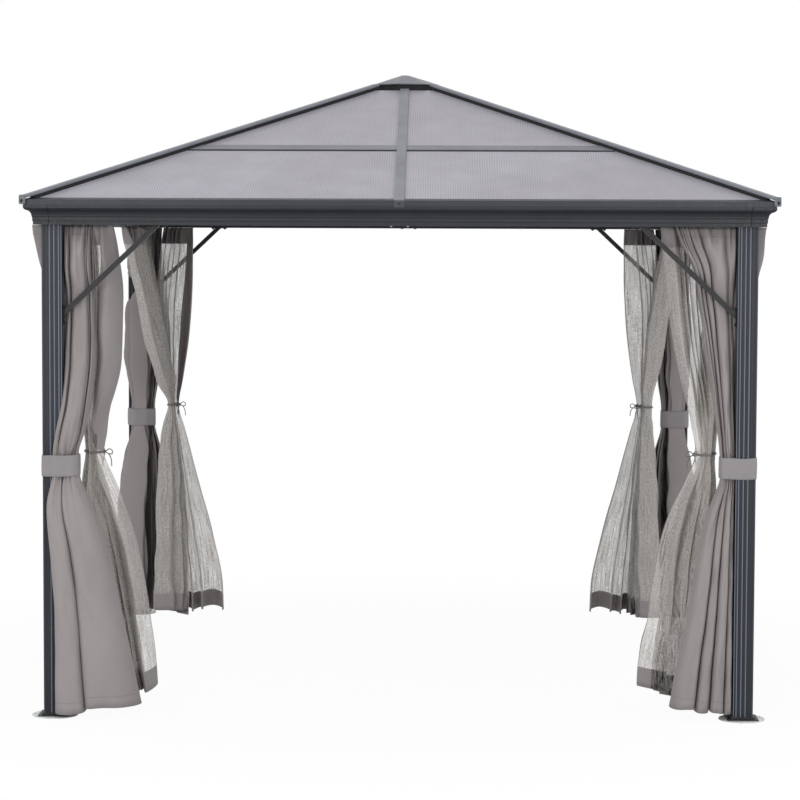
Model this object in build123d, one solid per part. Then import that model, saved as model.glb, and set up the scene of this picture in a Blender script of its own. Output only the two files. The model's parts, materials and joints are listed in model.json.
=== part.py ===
"""Hardtop gazebo with fluted posts, crown-moulded beams and tied-back curtains.

Millimetres, +Z up. The origin is on the ground, at the middle of the plan.
The front faces -Y. Each side is built once for the front and turned about Z;
each corner is built once for the front left and turned or mirrored.
"""
import os
from math import atan, cos, pi, radians, sin, sqrt

from build123d import *

os.makedirs("parts", exist_ok=True)

# Overall sizes
post_line = 1420.0
post_size = 80.0
eave_out = 80.0
beam_bottom = 1970.0
sheet_over_beam = 118.4
roof_rise = 0.385
clear = 0.3

# Post section: flutes as (start, end) across the face, from the outer corner
post_wall = 3.6
flute_depth = 2.2
post_flutes = ((5.0, 30.5), (35.0, 48.5), (52.5, 66.5), (70.5, 77.0))

# Foot
base_radius = 92.0
base_thick = 4.0
bolt_circle = 80.0
bolt_hole = 5.5
shoe_size = 124.0
shoe_thick = 4.0
collar_size = 96.0
collar_height = 8.0

# Beam crown: out is measured from the outer face of the posts
beam_inner = -50.0
beam_height = 78.0
beam_wall = 4.0
seam_gap = 1.5
seam_in = 33.0
splice_half = 41.0

# Eave rail and roof sheets
rail_face = 62.0
rail_inner = 30.0
face_rise = 5.2
lip_out = 40.0
lip_rise = 4.0
sheet_thick = 8.0
sheet_out = 56.0
purlin_line = 884.0
purlin_half = 25.0

# Hips and ribs
hip_half = 21.0
hip_lift = 10.0
hip_top = 20.5
rib_half = 20.0
rib_top = 9.0
clip_bottom = 73.0
end_half = 18.0
end_height = 38.0
end_rise = 4.2
hub_radius = 150.0
hub_drop = 58.0
cap_radius = 157.0
cap_turn = 11.0
cap_clear = 30.0
cap_height = 47.7
cap_flat = 16.0

# Knee braces
brace_reach = 375.0
brace_drop = 354.0
brace_width = 20.0
brace_depth = 20.0

# Curtain tracks, curtains and their ties
track_width = 62.0
track_height = 18.0
header_gap = 12.0
cloth_gap = 4.0
tie_height = 1020.0
band_height = 85.0
band_thick = 2.4
net_tie_height = 1050.0

SIDES = {"front": 0, "right": 90, "back": 180, "left": 270}
CORNERS = {"front_left": 0, "front_right": 90, "back_right": 180, "back_left": 270}
SIGNS = {"front_left": (1, 1), "front_right": (-1, 1), "back_right": (-1, -1), "back_left": (1, -1)}

roof_half = post_line + eave_out
ridge_height = beam_bottom + sheet_over_beam + roof_rise * post_line
sheet_drop = sheet_thick * sqrt(1 + roof_rise ** 2)
hip_tilt = roof_rise / sqrt(2)
post_centre = post_line - post_size / 2
corner_reach = post_line - seam_in
curtain_top = beam_bottom - header_gap
far = 2 * post_line


def turned(shape, angle):
    """The shape turned about the middle of the plan."""
    return Rot(0, 0, angle) * shape


def prism(points, z0, z1):
    """A plan outline raised from z0 to z1."""
    face = make_face(Polyline(*points, close=True))
    return Pos(0, 0, z0) * extrude(face, z1 - z0)


def across(points, x0, x1):
    """A (y, z) outline run along X from x0 to x1."""
    wire = Polyline(*[(0, y, z) for y, z in points], close=True)
    return Pos(x0, 0, 0) * extrude(make_face(wire), x1 - x0, dir=(1, 0, 0))


def wedge(side_gap):
    """The front quarter of the plan, kept side_gap away from both diagonals."""
    shift = side_gap * sqrt(2)
    points = [(0, -shift), (-far, -shift - far), (far, -shift - far)]
    return prism(points, -ridge_height, 2 * ridge_height)


def sheet_z(distance):
    """Height of the upper sheet surface at a distance from the middle."""
    return ridge_height - roof_rise * distance


def together(shapes):
    """Separate solids exported as one node."""
    solids = []
    for shape in shapes:
        solids.extend(shape.solids())
    return Compound(children=solids)


def all_round(shapes, angles):
    """Copies of the shapes turned to each angle, as one node."""
    return together([turned(shape, angle) for angle in angles for shape in shapes])


def flipped(points, name):
    """An outline at the named corner, given as distances in from the outer faces of the post."""
    sx, sy = SIGNS[name]
    return [((x - post_line) * sx, (y - post_line) * sy) for x, y in points]


def side_skins(a, b, c, d):
    """One flat four-sided skin, or two triangles where its corners aren't in one plane."""
    va, vb, vc, vd = (Vector(*p) for p in (a, b, c, d))
    normal = (vb - va).cross(vc - va).normalized()
    if abs(normal.dot(vd - va)) < 1e-4:
        return [[a, b, c, d]]
    return [[a, b, c], [a, c, d]]


def stacked(levels):
    """A flat-sided solid through plan outlines, given as (height, points)."""
    rings = [[(x, y, z) for x, y in outline] for z, outline in levels]
    skins = [rings[0], rings[-1]]
    for low, high in zip(rings, rings[1:]):
        count = len(low)
        for i in range(count):
            j = (i + 1) % count
            skins.extend(side_skins(low[i], low[j], high[j], high[i]))
    return Solid(Shell([Face(Wire.make_polygon(skin)) for skin in skins]))


def save(shape, name):
    export_step(shape, f"parts/{name}.step")


# Posts: a square tube with four flutes in each face
def flute(start, end):
    half = (end - start) / 2
    radius = (half ** 2 + flute_depth ** 2) / (2 * flute_depth)
    return Pos((start + end) / 2, flute_depth - radius) * Circle(radius)


def post():
    section = Pos(post_size / 2, post_size / 2) * Rectangle(post_size, post_size)
    for start, end in post_flutes:
        cut = flute(start, end)
        section -= cut
        section -= mirror(cut, Plane.XZ.offset(-post_size / 2))
        swapped = mirror(cut, Plane(origin=(0, 0, 0), z_dir=(1, -1, 0)))
        section -= swapped
        section -= mirror(swapped, Plane.YZ.offset(post_size / 2))
    bore = post_size - 2 * post_wall - flute_depth
    section -= Pos(post_size / 2, post_size / 2) * Rectangle(bore, bore)
    foot = base_thick + shoe_thick
    tube = extrude(section, beam_bottom - foot)
    return Pos(-post_line, -post_line, foot) * tube


post_solid = post()
for name, angle in CORNERS.items():
    save(turned(post_solid, angle), f"post_{name}")

# Feet: a round plate with four bolt holes under a square shoe with a collar
plate = Pos(-post_centre, -post_centre) * extrude(Circle(base_radius), base_thick)
for quarter in range(4):
    a = quarter * pi / 2
    hole = Cylinder(bolt_hole, 3 * base_thick)
    plate -= Pos(bolt_circle * cos(a) - post_centre, bolt_circle * sin(a) - post_centre, 0) * hole
save(all_round([plate], CORNERS.values()), "base_plates")

shoe_base = Pos(0, 0, base_thick) * extrude(Rectangle(shoe_size, shoe_size), shoe_thick)
collar_ring = Rectangle(collar_size, collar_size) - Rectangle(post_size + 0.4, post_size + 0.4)
collar = Pos(0, 0, base_thick + shoe_thick) * extrude(collar_ring, collar_height)
collar = chamfer(collar.faces().sort_by(Axis.Z)[-1].outer_wire().edges(), 3.0)
shoe = Pos(-post_centre, -post_centre, 0) * (shoe_base + collar)
save(all_round([shoe], CORNERS.values()), "post_shoes")


# Beams: a crown moulding with a cove, closed at the back
def crown(grow=0.0, hollow=True):
    """The beam section; x is out from the posts, y is up from the beam bottom."""
    g = grow
    lower = Polyline((54 + g, 58), (62 + g, 66), (62 + g, beam_height), (beam_inner, beam_height),
                     (beam_inner, 0), (28 + g, 0), (28 + g, 14), (30.5 + g, 16), (30.5 + g, 30), (33 + g, 34))
    cove = ThreePointArc((33 + g, 34), (39.2 + g, 51), (54 + g, 58))
    face = make_face(Curve() + [lower, cove])
    if hollow:
        x0, x1 = beam_inner + beam_wall, 28 - beam_wall
        y0, y1 = beam_wall, beam_height - beam_wall
        face -= Pos((x0 + x1) / 2, (y0 + y1) / 2) * Rectangle(x1 - x0, y1 - y0)
    return face


def along_front(face, x0, x1):
    """A section run along X on the front side, out pointing to -Y."""
    stand = Plane(origin=(x0, -post_line, beam_bottom), x_dir=(0, -1, 0), z_dir=(-1, 0, 0))
    return extrude(stand * face, x1 - x0, dir=(1, 0, 0))


quarter_full = wedge(0.0)
quarter_part = wedge(clear)
left_half = along_front(crown(), -corner_reach + seam_gap / 2, -seam_gap / 2) & quarter_part
right_half = along_front(crown(), seam_gap / 2, corner_reach - seam_gap / 2) & quarter_part
for name, angle in SIDES.items():
    save(all_round([left_half, right_half], [angle]), f"beam_{name}")

corner_arm = along_front(crown(0.8), -roof_half, -corner_reach - seam_gap / 2) & quarter_full
corner_piece = corner_arm + mirror(corner_arm, Plane(origin=(0, 0, 0), z_dir=(1, -1, 0)))
save(all_round([corner_piece], CORNERS.values()), "beam_corners")

# Splice covers: a thin shell over the crown at the middle of each beam
shell = crown(2.2, hollow=False) - crown(0.2, hollow=False)
shell_cut = Pos(28, 36.5) * Rectangle(90, 73)
shell = shell & shell_cut
splice = along_front(shell, -splice_half, splice_half)
save(all_round([splice], SIDES.values()), "splice_covers")

# Eave rails: mitred, with a slot that takes the sheets
def rail_points():
    def z_of(out):
        return sheet_z(post_line + out) - beam_bottom
    slot_end = 58.0
    pts = [(rail_inner, beam_height + clear), (rail_face, beam_height + clear),
           (rail_face, z_of(rail_face) + face_rise),
           (lip_out, z_of(lip_out) + lip_rise), (lip_out, z_of(lip_out) + 0.6),
           (slot_end, z_of(slot_end) + 0.6), (slot_end, z_of(slot_end) - sheet_drop - 0.6),
           (rail_inner, z_of(rail_inner) - sheet_drop - 0.6)]
    return [(-post_line - out, beam_bottom + up) for out, up in pts]


rail = across(rail_points(), -roof_half, roof_half) & wedge(clear / 2)
for name, angle in SIDES.items():
    save(turned(rail, angle), f"eave_rail_{name}")


# Things that follow the roof slope on the front side
def slope_bar(y0, y1, low, high, x0, x1):
    """A bar along the slope from distance y0 to y1, low to high above the sheet."""
    pts = [(-y1, sheet_z(y1) + low), (-y0, sheet_z(y0) + low),
           (-y0, sheet_z(y0) + high), (-y1, sheet_z(y1) + high)]
    return across(pts, x0, x1)


# Roof sheets: four on each side, parted by the rib and the purlin
sheet_plan = wedge(6.0)
web_gap = 4.0
sheet_inner = hub_radius + 2
for name, angle in SIDES.items():
    sheets = []
    for y0, y1 in ((purlin_line + web_gap, post_line + sheet_out), (sheet_inner, purlin_line - web_gap)):
        for x0, x1 in ((-far, -web_gap), (web_gap, far)):
            sheets.append(slope_bar(y0, y1, -sheet_drop, 0.0, x0, x1) & sheet_plan)
    save(all_round(sheets, [angle]), f"roof_sheets_{name}")

# Purlins: an H section on the joint of the sheets, interrupted by the rib
purlin_plan = wedge(hip_half + 1)
purlins = []
for sign in (-1, 1):
    x0, x1 = sorted((sign * (rib_half + 0.4), sign * far))
    top = slope_bar(purlin_line - purlin_half, purlin_line + purlin_half, 0.2, 4.0, x0, x1)
    web = slope_bar(purlin_line - 3, purlin_line + 3, -sheet_drop - 4, 4.0, x0, x1)
    under = slope_bar(purlin_line - 18, purlin_line + 18, -sheet_drop - 24, -sheet_drop - 0.4, x0, x1)
    purlins.append((top + web + under) & purlin_plan)
save(all_round(purlins, SIDES.values()), "roof_purlins")

# Ribs: a cover strip, a web and a lower box, with a clip bent over the eave rail
above_beam = Pos(0, 0, beam_bottom + beam_height + clear + far / 2) * Box(2 * far, 2 * far, far)
rail_out = post_line + rail_face
rib_inner = hub_radius + 4
over_lip = post_line + lip_out - 1
cover_pts = [(-rib_inner, sheet_z(rib_inner) + 0.2), (-over_lip, sheet_z(over_lip) + 0.2),
             (-over_lip, sheet_z(over_lip) + lip_rise + 1), (-rail_out - 0.3, sheet_z(rail_out) + lip_rise + 2),
             (-rail_out - 0.3, beam_bottom + clip_bottom), (-rail_out - 3.5, beam_bottom + clip_bottom),
             (-rail_out - 3.5, sheet_z(rail_out) + rib_top + 1), (-rib_inner, sheet_z(rib_inner) + rib_top)]
rib = across(cover_pts, -rib_half, rib_half)
rib += slope_bar(rib_inner, over_lip - 12, -sheet_drop - 2, 2.0, -3, 3)
low_box = slope_bar(rib_inner, post_line + rail_inner - 1, -sheet_drop - 34, -sheet_drop - 0.4, -15, 15)
low_box &= above_beam
rib += low_box
for name, angle in SIDES.items():
    save(turned(rib, angle), f"rib_{name}")

# Hips: a lower box with a web, a cover on a gasket, and an end cap
hip_angle = atan(hip_tilt)
droop = hip_tilt * cos(hip_angle)


def along_hip(points, d0, d1):
    """A (side, up) outline run down the front left hip between two distances."""
    start = Vector(-d0 / sqrt(2), -d0 / sqrt(2), ridge_height - hip_tilt * d0)
    down = Vector(-cos(hip_angle) / sqrt(2), -cos(hip_angle) / sqrt(2), -sin(hip_angle))
    frame = Plane(origin=start, x_dir=(-1, 1, 0), z_dir=down)
    if frame.y_dir.Z < 0:
        frame = Plane(origin=start, x_dir=(1, -1, 0), z_dir=down)
    face = frame * make_face(Polyline(*points, close=True))
    return extrude(face, (d1 - d0) / cos(hip_angle), dir=down)


hip_inner = hub_radius + 26
rail_tip = (post_line + rail_face) * sqrt(2)
rail_room = 2 * (post_line + rail_inner - 1)
inside_rail = Pos(0, 0, ridge_height) * Box(rail_room, rail_room, 2 * ridge_height)
inside_lip = Pos(0, 0, ridge_height) * Box(2 * over_lip, 2 * over_lip, 2 * ridge_height)
deep = sheet_drop * cos(hip_angle) + 0.6
hip_lower = along_hip([(-4, hip_lift - 0.2), (4, hip_lift - 0.2), (4, -4 * droop - deep), (22, -22 * droop - deep),
                       (22, -52), (-22, -52), (-22, -22 * droop - deep), (-4, -4 * droop - deep)], hip_inner, far)
hip_lower = hip_lower & inside_rail & above_beam
for name, angle in CORNERS.items():
    save(turned(hip_lower, angle), f"hip_rafter_{name}")

cover = along_hip([(-hip_half, hip_lift), (hip_half, hip_lift), (hip_half, hip_top - 5), (hip_half - 6, hip_top),
                   (6 - hip_half, hip_top), (-hip_half, hip_top - 5)], hip_inner, rail_tip)
cover &= Rot(0, 0, 45) * Pos(0, 0, ridge_height) * Box(2 * rail_tip + 1, 2 * rail_tip + 1, 2 * ridge_height)
save(all_round([cover], CORNERS.values()), "hip_covers")

gaskets = []
for sign in (-1, 1):
    strip = [(5 * sign, 0.4 - 5 * droop), (19 * sign, 0.4 - 19 * droop), (19 * sign, hip_lift - 0.3),
             (5 * sign, hip_lift - 0.3)]
    gaskets.append(along_hip(strip, hip_inner, far) & inside_lip)
save(all_round(gaskets, CORNERS.values()), "hip_gaskets")

end_out = roof_half * sqrt(2) - end_half
end_at = (rail_tip + 0.8) / sqrt(2)
end_plane = Plane(origin=(-end_at, -end_at, sheet_z(rail_out) + end_rise), x_dir=(1, -1, 0), z_dir=(-1, -1, 0))
end_face = end_plane * RectangleRounded(2 * end_half, end_height, 8)
end_cap = extrude(end_face, end_out - rail_tip - 0.8)
save(all_round([end_cap], CORNERS.values()), "hip_end_caps")


# Hub and peak cap: eight-sided, turned a little as fitted
def octagon(radius):
    angles = [radians(cap_turn + 22.5 + 45 * i) for i in range(8)]
    return [(radius * sin(a), -radius * cos(a)) for a in angles]


hub_low = sheet_z(hub_radius) - hub_drop
cap_edge = sheet_z(cap_radius) + cap_clear
cap_top = cap_edge + cap_height
hub = prism(octagon(hub_radius - 2), hub_low, cap_edge - 1.5)
hub -= prism(octagon(hub_radius - 22), hub_low - 1, hub_low + 40)
save(hub, "roof_hub")
cap = stacked([(cap_edge, octagon(cap_radius)), (cap_edge + 4, octagon(cap_radius)), (cap_top, octagon(cap_flat))])
cap -= stacked([(cap_edge - 1, octagon(cap_radius - 4)), (cap_top - 6, octagon(cap_flat - 2))])
cap += prism(octagon(cap_radius - 37), cap_edge, cap_edge + 12)
save(cap, "roof_cap")


# Knee braces: two at each post, between the post and each beam
def brace():
    half = brace_width / 2 * sqrt(brace_reach ** 2 + brace_drop ** 2)
    up, side = half / brace_reach, half / brace_drop
    x0 = -post_line + post_size
    z0 = beam_bottom - brace_drop
    x1 = x0 + brace_reach
    y0 = -post_centre - brace_depth / 2
    bar = Plane.XZ * make_face(Polyline((x0, z0 - up), (x0, z0 + up), (x1 - side, beam_bottom),
                                        (x1 + side, beam_bottom), close=True))
    bar = Pos(0, y0 + brace_depth, 0) * extrude(bar, brace_depth)
    pad_low = Pos(x0 + 1.5, -post_centre, z0 - 4) * Box(3, brace_depth + 8, 78)
    pad_high = Pos(x1 + 4, -post_centre, beam_bottom - 1.5) * Box(78, brace_depth, 3)
    return bar + pad_low + pad_high


brace_front = brace()
brace_side = mirror(brace_front, Plane(origin=(0, 0, 0), z_dir=(1, -1, 0)))
for name, angle in CORNERS.items():
    save(all_round([brace_front, brace_side], [angle]), f"knee_braces_{name}")

# Curtain tracks: two slots side by side, on the inner face of each beam
track_y = -(post_line + beam_inner) + 1
track_z = beam_bottom + 3
track = Pos(0, track_y + track_width / 2, track_z + track_height / 2) * Box(far, track_width, track_height)
for slot in (track_width * 0.27, track_width * 0.75):
    track -= Pos(0, track_y + slot, track_z + 7) * Box(far, 12, 10)
    track -= Pos(0, track_y + slot, track_z) * Box(far, 5, 10)
track &= wedge(1.0)
save(all_round([track], SIDES.values()), "curtain_tracks")


# Curtains and nets: plain soft solids, gathered at their ties
def notched(x0, y0, x1, y1, cut, notch=2.0):
    """A box outline with its outer corner notched for the post and its inner one cut."""
    return [(x0 + notch, y0), (x1, y0), (x1, y1 - cut), (x1 - cut, y1), (x0, y1), (x0, y0 + notch),
            (x0 + notch, y0 + notch)]


def bevelled(x0, y0, x1, y1, outer=6.0, inner=6.0):
    """A box outline with its outer and inner corners cut."""
    return [(x0 + outer, y0), (x1, y0), (x1, y1 - inner), (x1 - inner, y1), (x0, y1), (x0, y0 + outer)]


beside = post_size + cloth_gap
gathered = notched(beside, beside - 1, 137, 136, 10)
curtain_levels = [
    (22.0, notched(beside, -50, 360, 130, 80)),
    (300.0, notched(beside, -40, 325, 130, 60)),
    (tie_height - 70, gathered),
    (tie_height + 70, gathered),
    (curtain_top, notched(65, 65, 235, 235, 150, beside - 65)),
]
net_levels = [
    (28.0, bevelled(300, 320, 435, 515)),
    (net_tie_height, bevelled(165, 180, 215, 260)),
    (curtain_top - 3, bevelled(120, 120, 300, 300, 110, 100)),
]
for name in CORNERS:
    for kind, levels in (("curtain", curtain_levels), ("net", net_levels)):
        save(stacked([(z, flipped(outline, name)) for z, outline in levels]), f"{kind}_{name}")


# Tie bands: a strap round each post and its curtain
def strap(out):
    """The band's outline, out from its inner face."""
    near, wide, side = -0.6 - out, 141 + out, 138 + out
    return [(near, near), (90 + out / 2, near), (wide, 75 - out / 2), (wide, side), (75 - out / 2, side),
            (near, 90 + out / 2)]


bands = []
for name in CORNERS:
    band = prism(flipped(strap(band_thick), name), tie_height - band_height / 2, tie_height + band_height / 2)
    band -= prism(flipped(strap(0), name), tie_height - band_height, tie_height + band_height)
    bands.append(band)
save(together(bands), "tie_bands")
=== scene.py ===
"""Looks of a hardtop gazebo: coated metal, roof sheets, hung curtains, nets and their ties.

Metres, +Z up, with the origin on the ground at the middle of the plan. The front faces -Y.
"""
from __future__ import annotations

import json
import logging
import math
from collections.abc import Iterable
from dataclasses import dataclass, field
from enum import Enum
from typing import Any

import bpy
import numpy as np
from mathutils import Matrix, Vector

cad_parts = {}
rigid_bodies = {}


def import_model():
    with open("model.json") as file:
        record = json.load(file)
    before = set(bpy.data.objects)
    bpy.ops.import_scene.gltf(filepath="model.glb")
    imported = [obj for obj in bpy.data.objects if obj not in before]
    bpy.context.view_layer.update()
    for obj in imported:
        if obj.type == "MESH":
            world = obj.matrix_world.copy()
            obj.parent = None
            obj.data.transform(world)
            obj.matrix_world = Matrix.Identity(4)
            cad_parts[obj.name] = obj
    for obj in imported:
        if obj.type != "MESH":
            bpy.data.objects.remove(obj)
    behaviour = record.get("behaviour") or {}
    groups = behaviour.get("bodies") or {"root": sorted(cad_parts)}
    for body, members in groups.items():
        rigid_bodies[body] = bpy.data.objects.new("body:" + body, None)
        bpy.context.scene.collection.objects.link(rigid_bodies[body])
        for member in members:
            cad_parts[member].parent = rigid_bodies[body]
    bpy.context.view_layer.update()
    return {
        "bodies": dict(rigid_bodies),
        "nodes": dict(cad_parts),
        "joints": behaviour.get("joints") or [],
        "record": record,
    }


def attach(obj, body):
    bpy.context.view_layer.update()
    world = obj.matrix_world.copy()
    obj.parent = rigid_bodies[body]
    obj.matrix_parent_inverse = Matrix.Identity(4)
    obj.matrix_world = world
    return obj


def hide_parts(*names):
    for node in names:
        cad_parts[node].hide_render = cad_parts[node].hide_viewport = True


LOG = logging.getLogger("gazebo")
Rgb = tuple[int, int, int]
Rgba = tuple[float, float, float, float]
Pair = tuple[float, float]
Triple = tuple[float, float, float]

ROOF_SLOPE = 0.385
ROOF_RIDGE = 2.6351
CURTAIN_TIE = 1.02
FRONT_NET_TIE = 1.05
BACK_NET_TIE = 1.085
CURTAIN_COLUMNS = 150
NET_COLUMNS = 128
QUARTER_TURNS = ((1, 0), (0, 1), (-1, 0), (0, -1))


def linear(tone: Rgb) -> Rgba:
    """Turns an 8-bit display colour into a linear one.

    Args:
        tone: Red, green and blue from 0 to 255.

    Returns:
        Linear red, green, blue and an alpha of one.
    """
    parts = [c / 255 for c in tone]
    flat = [p / 12.92 if p <= 0.04045 else ((p + 0.055) / 1.055) ** 2.4 for p in parts]
    return (flat[0], flat[1], flat[2], 1.0)


def shaded(tone: Rgba, red: float, green: float | None = None, blue: float | None = None) -> Rgba:
    """A linear colour times a share, which may differ between its channels."""
    shares = (red, red if green is None else green, red if blue is None else blue)
    return (tone[0] * shares[0], tone[1] * shares[1], tone[2] * shares[2], 1.0)


class Graph:
    """A builder for one material's node tree."""

    def __init__(self, name: str) -> None:
        """Starts an empty tree under the given material name."""
        self.material = bpy.data.materials.new(name)
        self.material.use_nodes = True
        self.tree = self.material.node_tree
        self.tree.nodes.clear()

    def add(self, kind: str, settings: dict[str, Any] | None = None, **sockets: Any) -> bpy.types.Node:
        """Adds a node.

        Args:
            kind: The node's type, without its ShaderNode prefix.
            settings: Properties of the node itself.
            sockets: Inputs by name, with _ for a space, as values or output sockets.

        Returns:
            The new node.
        """
        node = self.tree.nodes.new("ShaderNode" + kind)
        for key, value in (settings or {}).items():
            setattr(node, key, value)
        for key, value in sockets.items():
            self.put(node.inputs[key.replace("_", " ")], value)
        return node

    def put(self, socket: bpy.types.NodeSocket, value: Any) -> None:
        """Sets an input, or links it where the value is an output socket."""
        if isinstance(value, bpy.types.NodeSocket):
            self.tree.links.new(value, socket)
        else:
            socket.default_value = value

    def place(self) -> bpy.types.NodeSocket:
        """Object coordinates, in metres."""
        return self.add("TexCoord").outputs["Object"]

    def cloth_uv(self) -> bpy.types.NodeSocket:
        """The cloth's own map, in metres across and down."""
        return self.add("UVMap", {"uv_map": "cloth"}).outputs["UV"]

    def parts(self, vector: bpy.types.NodeSocket) -> tuple[Any, Any, Any]:
        """The three numbers of a vector."""
        split = self.add("SeparateXYZ", Vector=vector)
        return split.outputs[0], split.outputs[1], split.outputs[2]

    def noise(self, vector: Any, scale: float, detail: float = 2.0,
              rough: float = 0.5) -> bpy.types.NodeSocket:
        """A soft noise from 0 to 1."""
        node = self.add("TexNoise", Vector=vector, Scale=scale, Detail=detail, Roughness=rough)
        return node.outputs[0]

    def stretched(self, vector: Any, scale: Triple) -> bpy.types.NodeSocket:
        """The vector times a scale on each axis."""
        return self.add("Mapping", Vector=vector, Scale=scale).outputs[0]

    def step(self, kind: str, a: Any, b: Any = 0.0, c: Any = 0.0) -> bpy.types.NodeSocket:
        """One arithmetic step, such as ADD, MULTIPLY or SINE."""
        node = self.add("Math", {"operation": kind})
        for socket, value in zip(node.inputs, (a, b, c)):
            self.put(socket, value)
        return node.outputs[0]

    def times(self, a: Any, b: Any) -> bpy.types.NodeSocket:
        """The product of two values."""
        return self.step("MULTIPLY", a, b)

    def between(self, value: Any, low: float, high: float, out_low: float = 0.0,
                out_high: float = 1.0) -> bpy.types.NodeSocket:
        """A smooth step from out_low to out_high as the value goes from low to high."""
        node = self.add("MapRange", {"interpolation_type": "SMOOTHSTEP"})
        for socket, number in zip(node.inputs, (value, low, high, out_low, out_high)):
            self.put(socket, number)
        return node.outputs[0]

    def blend(self, share: Any, first: Any, second: Any) -> bpy.types.NodeSocket:
        """A mix of two colours."""
        node = self.add("Mix", {"data_type": "RGBA"})
        for index, value in ((0, share), (6, first), (7, second)):
            self.put(node.inputs[index], value)
        return node.outputs[2]

    def bump(self, height: Any, distance: float, strength: float = 1.0,
             below: Any = None) -> bpy.types.NodeSocket:
        """A surface normal from a height."""
        node = self.add("Bump", Height=height, Distance=distance, Strength=strength)
        if below is not None:
            self.put(node.inputs["Normal"], below)
        return node.outputs[0]

    def close(self, surface: bpy.types.NodeSocket) -> bpy.types.Material:
        """Ends the tree in a material output."""
        out = self.add("OutputMaterial")
        self.tree.links.new(surface, out.inputs["Surface"])
        return self.material


@dataclass(frozen=True)
class PowderCoat:
    """Baked powder paint on aluminium or steel."""

    name: str
    tone: Rgb
    gloss: float = 0.38
    shine: float = 0.35
    grain: float = 700.0
    relief: float = 0.00006
    foot_tone: Rgb | None = None
    foot_below: float = 0.0

    def mottled(self, g: Graph, tone: Rgb) -> bpy.types.NodeSocket:
        """The paint's colour, a little cloudy."""
        base = linear(tone)
        dark = shaded(base, 0.88, 0.88, 0.90)
        pale = shaded(base, 1.12, 1.12, 1.11)
        return g.blend(g.between(g.noise(g.place(), 5.0, 4.0, 0.6), 0.3, 0.7), dark, pale)

    def coat(self, g: Graph, colour: bpy.types.NodeSocket, below: Any = None) -> bpy.types.Material:
        """Ends the tree in a coated skin with fine orange peel and a trace of dust."""
        place = g.place()
        dust = g.noise(place, 60.0, 3.0, 0.7)
        colour = g.blend(g.between(dust, 0.64, 0.82, 0.0, 0.05), colour, (0.42, 0.41, 0.40, 1.0))
        rough = g.between(dust, 0.25, 0.75, self.gloss - 0.05, self.gloss + 0.09)
        normal = g.bump(g.noise(place, self.grain, 1.0), self.relief, 0.6, below)
        skin = g.add("BsdfPrincipled", Base_Color=colour, Roughness=rough, Normal=normal)
        skin.inputs["Specular IOR Level"].default_value = self.shine
        return g.close(skin.outputs[0])

    def build(self) -> bpy.types.Material:
        """Makes the material, with another tone below a height where a part has a darker foot."""
        g = Graph(self.name)
        colour = self.mottled(g, self.tone)
        if self.foot_tone is not None:
            _, _, z = g.parts(g.place())
            low = g.between(z, self.foot_below - 0.001, self.foot_below + 0.001, 1.0, 0.0)
            colour = g.blend(low, colour, self.mottled(g, self.foot_tone))
        return self.coat(g, colour)


@dataclass(frozen=True)
class FlutedCoat(PowderCoat):
    """The posts' coat, with painted shade on the floors of their flutes, which run from end to end of each
    face, and painted highlights along their lips.
    """

    outer: float = 1.42
    flutes: tuple[Pair, ...] = ((0.0050, 0.0305), (0.0350, 0.0485), (0.0525, 0.0665), (0.0705, 0.0770))
    depth: float = 0.0022
    wall: float = 0.0022
    lip: Pair = (0.0018, 0.0026)
    # The tone's share on a flute's floor is painted shade, and its share on the lip is painted highlight.
    floor_share: Triple = (0.34, 0.34, 0.36)
    lip_share: float = 6.0

    def inset(self, g: Graph) -> bpy.types.NodeSocket:
        """How far a place on any face of a post lies from the post's outer edge."""
        x, y, _ = g.parts(g.place())
        across, ahead, _ = g.parts(g.add("TexCoord").outputs["Normal"])
        on_side = g.step("GREATER_THAN", g.step("ABSOLUTE", across), g.step("ABSOLUTE", ahead))
        run = g.add("Mix")
        for index, value in ((0, on_side), (2, g.step("ABSOLUTE", x)), (3, g.step("ABSOLUTE", y))):
            g.put(run.inputs[index], value)
        return g.step("SUBTRACT", self.outer, run.outputs[0])

    def build(self) -> bpy.types.Material:
        """Makes the material: painted shade on each flute's floor, a painted highlight on the lip beyond it,
        and the flutes' bump.
        """
        g = Graph(self.name)
        inset = self.inset(g)
        floor: Any = 0.0
        painted_lip_highlights: Any = 0.0
        for low, high in self.flutes:
            rising = g.between(inset, low, low + self.wall)
            falling = g.between(inset, high - self.wall, high, 1.0, 0.0)
            floor = g.step("MAXIMUM", floor, g.times(rising, falling))
            bright = g.between(inset, high - self.lip[0], high)
            fading = g.between(inset, high, high + self.lip[1], 1.0, 0.0)
            painted_lip_highlights = g.step("MAXIMUM", painted_lip_highlights, g.times(bright, fading))
        tone = linear(self.tone)
        # Painted shade on the flute floors, then painted highlights on their lips.
        colour = g.blend(g.times(floor, 0.85), self.mottled(g, self.tone), shaded(tone, *self.floor_share))
        colour = g.blend(g.times(painted_lip_highlights, 0.9), colour, shaded(tone, self.lip_share))
        return self.coat(g, colour, g.bump(floor, self.depth, 0.8))


class FlutesAlong(Enum):
    """The horizontal axis that a roof sheet's inner walls run along."""

    X = 0
    Y = 1


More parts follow.
